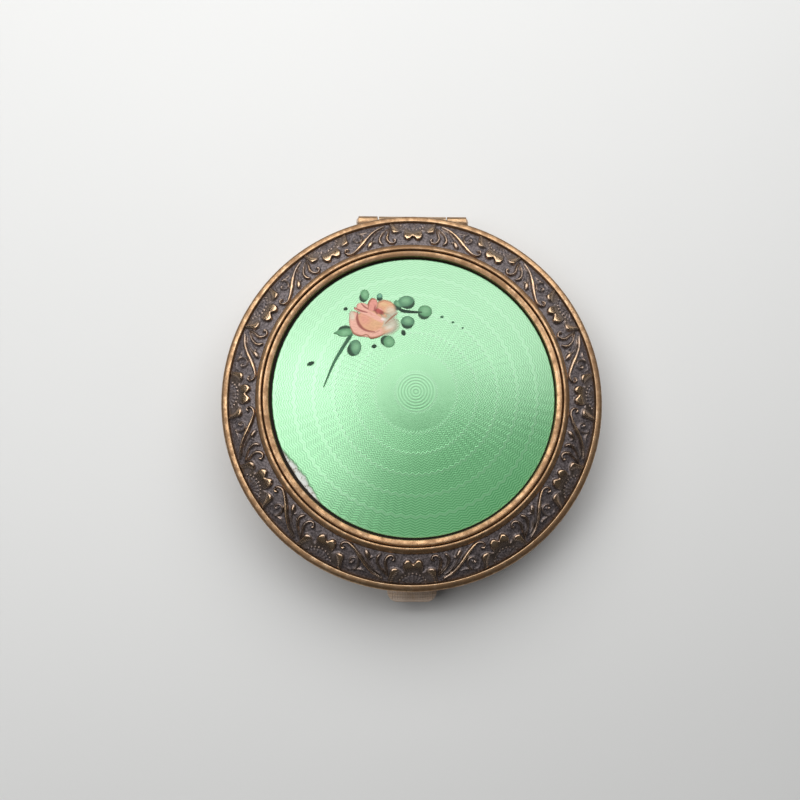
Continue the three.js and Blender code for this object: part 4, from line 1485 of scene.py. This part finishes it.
class PILLBOX_OT_hinge(bpy.types.Operator):
    """Make the tube hinge: two leaves with their knuckles, and the pin"""

    bl_idname = "pillbox.hinge"
    bl_label = "Hinge"

    def execute(self, context):
        half, middle = LEAF_HIGH.x, KNUCKLE_HIGH.x
        gap = KNUCKLE_GAP
        lid_leaf = refined_copy("lid_hinge_leaf", gilt_brass(), "hinge_leaf_of_lid")
        join(lid_leaf, [knuckle(-middle, middle, LID_KNUCKLE_R)])
        finish_piece(lid_leaf, "lid", ["lid_hinge_leaf"])

        base_leaf = refined_copy("base_hinge_leaf", gilt_brass(), "hinge_leaf_of_base")
        outer_tube = knuckle(-half, -middle - gap, BASE_KNUCKLE_R)
        spacing = (half + middle + gap) * MM
        run_tree(outer_tube, row_tree(), **{
            "Count": 2, "Step": (spacing, 0.0, 0.0), "Material": gilt_brass(),
        })
        join(base_leaf, [outer_tube])
        finish_piece(base_leaf, "base", ["base_hinge_leaf"])

        end = PIN_HIGH.x
        shank, head, tip = PIN_R, PIN_HEAD_R, PIN_TIP_R
        section = [
            (0, -end, 0), (tip, -end, 0.12), (head, -end + 0.14, 0.1), (head, -half - 0.03, 0.03),
            (shank, -half - 0.03, 0.03), (shank, half + 0.03, 0.03), (head, half + 0.03, 0.03),
            (head, end - 0.14, 0.1), (tip, end, 0.12), (0, end, 0),
        ]
        pin = turned("peened_pin", section, aged_brass(), closed=False, facets=48)
        along_hinge(pin)
        finish_piece(pin, "base", ["hinge_pin"])
        return {"FINISHED"}


# ---- base ------------------------------------------------------------------------------------

FLOOR_Z = 0.60  # top of the pan's floor
FOOT_HOLLOW = 0.14  # how far the underside is pressed in, inside its foot
RIVET_X, RIVET_Y = 1.6, -21.6
RIVET_HOLE_R = 0.36
COLLAR_WALL = 0.5
THUMB_GAP = 0.25
WINDOW_TOP = 5.25
HOOK_SLOT_HALF = 2.7
HOOK_SLOT_BOTTOM = 2.75

class PILLBOX_OT_base(bpy.types.Operator):
    """Make the base pan and the collar that the lid closes over"""

    bl_idname = "pillbox.base"
    bl_label = "Base"

    def execute(self, context):
        top = PAN_HIGH.z
        inner = BASE_R - SHEET
        section = [
            (0, FOOT_HOLLOW, 0), (21.6, FOOT_HOLLOW, 0.1), (22.0, 0.0, 0.3),
            (BASE_R - 0.7, 0.0, 0.7),
            (BASE_R, 0.75, 0.9), (BASE_R, 1.55, 0.1), (BASE_R - 0.08, 1.68, 0.08),
            (BASE_R, 1.82, 0.1), (BASE_R, top - 0.55, 0.1), (BASE_R - 0.08, top - 0.43, 0.08),
            (BASE_R, top - 0.32, 0.08), (BASE_R, top, 0.16), (inner, top, 0.16),
            (inner, FLOOR_Z, 0.7), *((ring, FLOOR_Z, 0) for ring in (25.8, 24.0, 20.0, 0)),
        ]
        pan = turned("base_pan_turned", section, gilt_brass(), closed=False)
        thumb_half = BUTTON_HIGH.x + THUMB_GAP
        window = block((-thumb_half, -30.0, BUTTON_LOW.z - THUMB_GAP),
                       (thumb_half, -25.0, WINDOW_TOP))
        cutters = [hinge_cutter(), window]
        for side in (-1, 1):
            drill = [(0, -1), (RIVET_HOLE_R, -1), (RIVET_HOLE_R, 1), (0, 1)]
            hole = turn_mesh("hole", drill, None, closed=False, facets=32)
            place = Vector((side * RIVET_X, RIVET_Y, 0)) * MM
            hole.data.transform(Matrix.Translation(place))
            cutters.append(hole)
        cut(pan, cutters)
        finish_piece(pan, "base", ["base_pan"])

        outer, wall = COLLAR_HIGH.x, COLLAR_WALL
        low, high = COLLAR_LOW.z, COLLAR_HIGH.z
        section = [
            (outer, low, 0.05), (outer, high - 0.5, 0.1), (outer - 0.06, high - 0.4, 0.05),
            (outer, high - 0.3, 0.08), (outer, high, 0.2), (outer - wall, high, 0.2),
            (outer - wall, low, 0.05),
        ]
        collar = turned("base_collar_turned", section, polished_brass())
        slot = block((-HOOK_SLOT_HALF, -28, HOOK_SLOT_BOTTOM), (HOOK_SLOT_HALF, -24, high + 1))
        cut(collar, [slot])
        finish_piece(collar, "base", ["base_collar"])
        return {"FINISHED"}


# ---- catch -----------------------------------------------------------------------------------

REEDS = 17
REED_STEP = 0.36
REED_R = 0.06
REED_BACK = -28.1
TAB_EDGE = 0.16
RIVET_R, RIVET_HEAD_R, RIVET_HEAD_Z = 0.3, 0.6, 1.1
SPRING_TURNS = 5.0
SPRING_R = 0.75
SPRING_WIRE_R = 0.14

class PILLBOX_OT_catch(bpy.types.Operator):
    """Make the catch: thumb tab with its hook, spring, bracket and rivets"""

    bl_idname = "pillbox.catch"
    bl_label = "Catch"

    def execute(self, context):
        button = refined_copy("latch_button", aged_brass(), "thumb_tab_and_hook", TAB_EDGE * MM)
        # Fine reeds across the top of the tab, for grip.
        front, back = BUTTON_LOW.y + 0.35, REED_BACK
        section = [(0, front, 0), (REED_R, front, 0.03), (REED_R, back, 0.03), (0, back, 0)]
        reed = turned("reed", section, aged_brass(), closed=False, facets=10)
        reed.data.transform(Matrix.Rotation(-math.pi / 2, 4, "X"))
        start = Vector((-REED_STEP * (REEDS - 1) / 2, 0.0, BUTTON_LOW.z + 2.785)) * MM
        run_tree(reed, row_tree(), **{
            "Count": REEDS, "Start": start, "Step": (REED_STEP * MM, 0.0, 0.0),
            "Material": aged_brass(),
        })
        join(button, [reed])
        finish_piece(button, "latch", ["latch_button"])

        bracket = refined_copy("latch_bracket", gilt_brass(), "stem_bracket")
        finish_piece(bracket, "base", ["latch_bracket"])

        head_z, top = RIVET_HEAD_Z, RIVET_HIGH.z
        section = [(0, RIVET_LOW.z, 0), (RIVET_R, RIVET_LOW.z, 0.04), (RIVET_R, head_z, 0.02),
                   (RIVET_HEAD_R, head_z, 0.05), (0.52, head_z + 0.2, 0.12), (0, top, 0)]
        rivets = turned("bracket_rivets", section, aged_brass(), closed=False, facets=32)
        middle = (RIVET_LOW + RIVET_HIGH) / 2
        spread = middle.x * MM
        run_tree(rivets, row_tree(), **{
            "Count": 2, "Start": (-spread, middle.y * MM, 0.0), "Step": (2 * spread, 0.0, 0.0),
            "Material": aged_brass(),
        })
        finish_piece(rivets, "base", ["latch_rivet_left", "latch_rivet_right"])

        wire = SPRING_WIRE_R
        length_y = SPRING_HIGH.y - SPRING_LOW.y - 2 * wire
        spring = link_mesh("catch_spring", bpy.data.meshes.new("catch_spring"), spring_steel())
        place = Vector((0.0, SPRING_LOW.y + wire, (SPRING_LOW.z + SPRING_HIGH.z) / 2)) * MM
        run_tree(spring, coil_tree(), **{
            "Turns": SPRING_TURNS, "Radius": SPRING_R * MM, "Wire Radius": wire * MM,
            "Length": length_y * MM, "Place": place, "Material": spring_steel(),
        })
        finish_piece(spring, "base", ["latch_spring"])
        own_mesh(spring)
        return {"FINISHED"}


# ---- stage -----------------------------------------------------------------------------------

CAMERA_DISTANCE = 120.0
CAMERA_TILT = 10.2  # degrees from straight above
CAMERA_SWING = -8.3
LOOK_AT_Z = 9.2
LENS = 36.85
LENS_SHIFT = (-0.016, -0.00475)
SENSOR_WIDTH = 36.0
LIGHT_AIM_Z = 6.0
FLOOR_HALF = 1500.0
SKY = (0.86, 0.88, 0.92)
SKY_STRENGTH = 0.09
LIGHTS = (  # name, place, width and height, power in watts
    ("window", (0, 138, 192), (420, 230), 0.92),
    ("wall", (-130, 0, 240), (150, 180), 0.26),
)


def aim(obj, target):
    """Points an object's -Z at a target, with its +Y towards the box's hinge."""
    look = (obj.location - Vector(target) * MM).normalized()
    right = Vector((0.0, 1.0, 0.0)).cross(look).normalized()
    up = look.cross(right)
    obj.rotation_euler = Matrix((right, up, look)).transposed().to_euler()


def soft_light(name, at, size, power):
    """A rectangular light at a place, aimed at the box."""
    light = bpy.data.lights.new(name, "AREA")
    light.shape = "RECTANGLE"
    light.size, light.size_y = size[0] * MM, size[1] * MM
    light.energy = power
    obj = bpy.data.objects.new(name, light)
    obj.location = Vector(at) * MM
    bpy.context.scene.collection.objects.link(obj)
    aim(obj, (0.0, 0.0, LIGHT_AIM_Z))


class PILLBOX_OT_stage(bpy.types.Operator):
    """Make the floor, the studio lights and the camera"""

    bl_idname = "pillbox.stage"
    bl_label = "Stage"

    def execute(self, context):
        half = FLOOR_HALF
        points = [(-half, -half, 0), (half, -half, 0), (half, half, 0), (-half, half, 0)]
        mesh = bpy.data.meshes.new("floor")
        mesh.from_pydata((np.array(points) * MM).tolist(), [], [(0, 1, 2, 3)])
        link_mesh("floor", mesh, pale_floor())

        for light in LIGHTS:
            soft_light(*light)

        world = bpy.data.worlds.new("studio")
        world.use_nodes = True
        background = world.node_tree.nodes["Background"]
        background.inputs["Color"].default_value = rgba(SKY)
        background.inputs["Strength"].default_value = SKY_STRENGTH
        context.scene.world = world
        context.scene.view_settings.view_transform = "Standard"

        camera = bpy.data.cameras.new("camera")
        camera.lens = LENS
        camera.sensor_width = SENSOR_WIDTH
        camera.shift_x, camera.shift_y = LENS_SHIFT
        camera.clip_start = 0.001
        obj = bpy.data.objects.new("camera", camera)
        tilt, swing = math.radians(CAMERA_TILT), math.radians(CAMERA_SWING)
        out = Vector((math.sin(swing) * math.sin(tilt), -math.cos(swing) * math.sin(tilt),
                      math.cos(tilt)))
        target = Vector((0.0, 0.0, LOOK_AT_Z))
        obj.location = (target + out * CAMERA_DISTANCE) * MM
        aim(obj, target)
        context.scene.collection.objects.link(obj)
        context.scene.camera = obj
        return {"FINISHED"}


# ---- add-on ----------------------------------------------------------------------------------

OPERATORS = (
    PILLBOX_OT_stage,
    PILLBOX_OT_base,
    PILLBOX_OT_catch,
    PILLBOX_OT_hinge,
    PILLBOX_OT_lid_shell,
    PILLBOX_OT_border,
    PILLBOX_OT_bezel,
    PILLBOX_OT_plaque,
    PILLBOX_OT_rose,
    PILLBOX_OT_lid_inside,
)


class PILLBOX_PT_panel(bpy.types.Panel):
    """Lists the pieces of the pill box"""

    bl_label = "Pill Box"
    bl_idname = "PILLBOX_PT_panel"
    bl_space_type = "VIEW_3D"
    bl_region_type = "UI"
    bl_category = "Pill Box"

    def draw(self, context):
        for operator in OPERATORS:
            self.layout.operator(operator.bl_idname)
        for group in (context.scene.pill_box_sizes, context.scene.pill_box_colours):
            column = self.layout.column()
            for name in group.bl_rna.properties.keys():
                if name not in ("rna_type", "name"):
                    column.prop(group, name)


CLASSES = (PillBoxSizes, PillBoxColours, *OPERATORS, PILLBOX_PT_panel)


def register():
    """Adds the classes and the scene's two groups of settings."""
    for item in CLASSES:
        bpy.utils.register_class(item)
    bpy.types.Scene.pill_box_sizes = bpy.props.PointerProperty(type=PillBoxSizes)
    bpy.types.Scene.pill_box_colours = bpy.props.PointerProperty(type=PillBoxColours)


def unregister():
    """Takes them away again."""
    del bpy.types.Scene.pill_box_colours
    del bpy.types.Scene.pill_box_sizes
    for item in reversed(CLASSES):
        bpy.utils.unregister_class(item)


def main():
    """Makes every piece through its operator."""
    register()
    for operator in OPERATORS:
        group, name = operator.bl_idname.split(".")
        getattr(getattr(bpy.ops, group), name)()


if __name__ == "__main__":
    main()
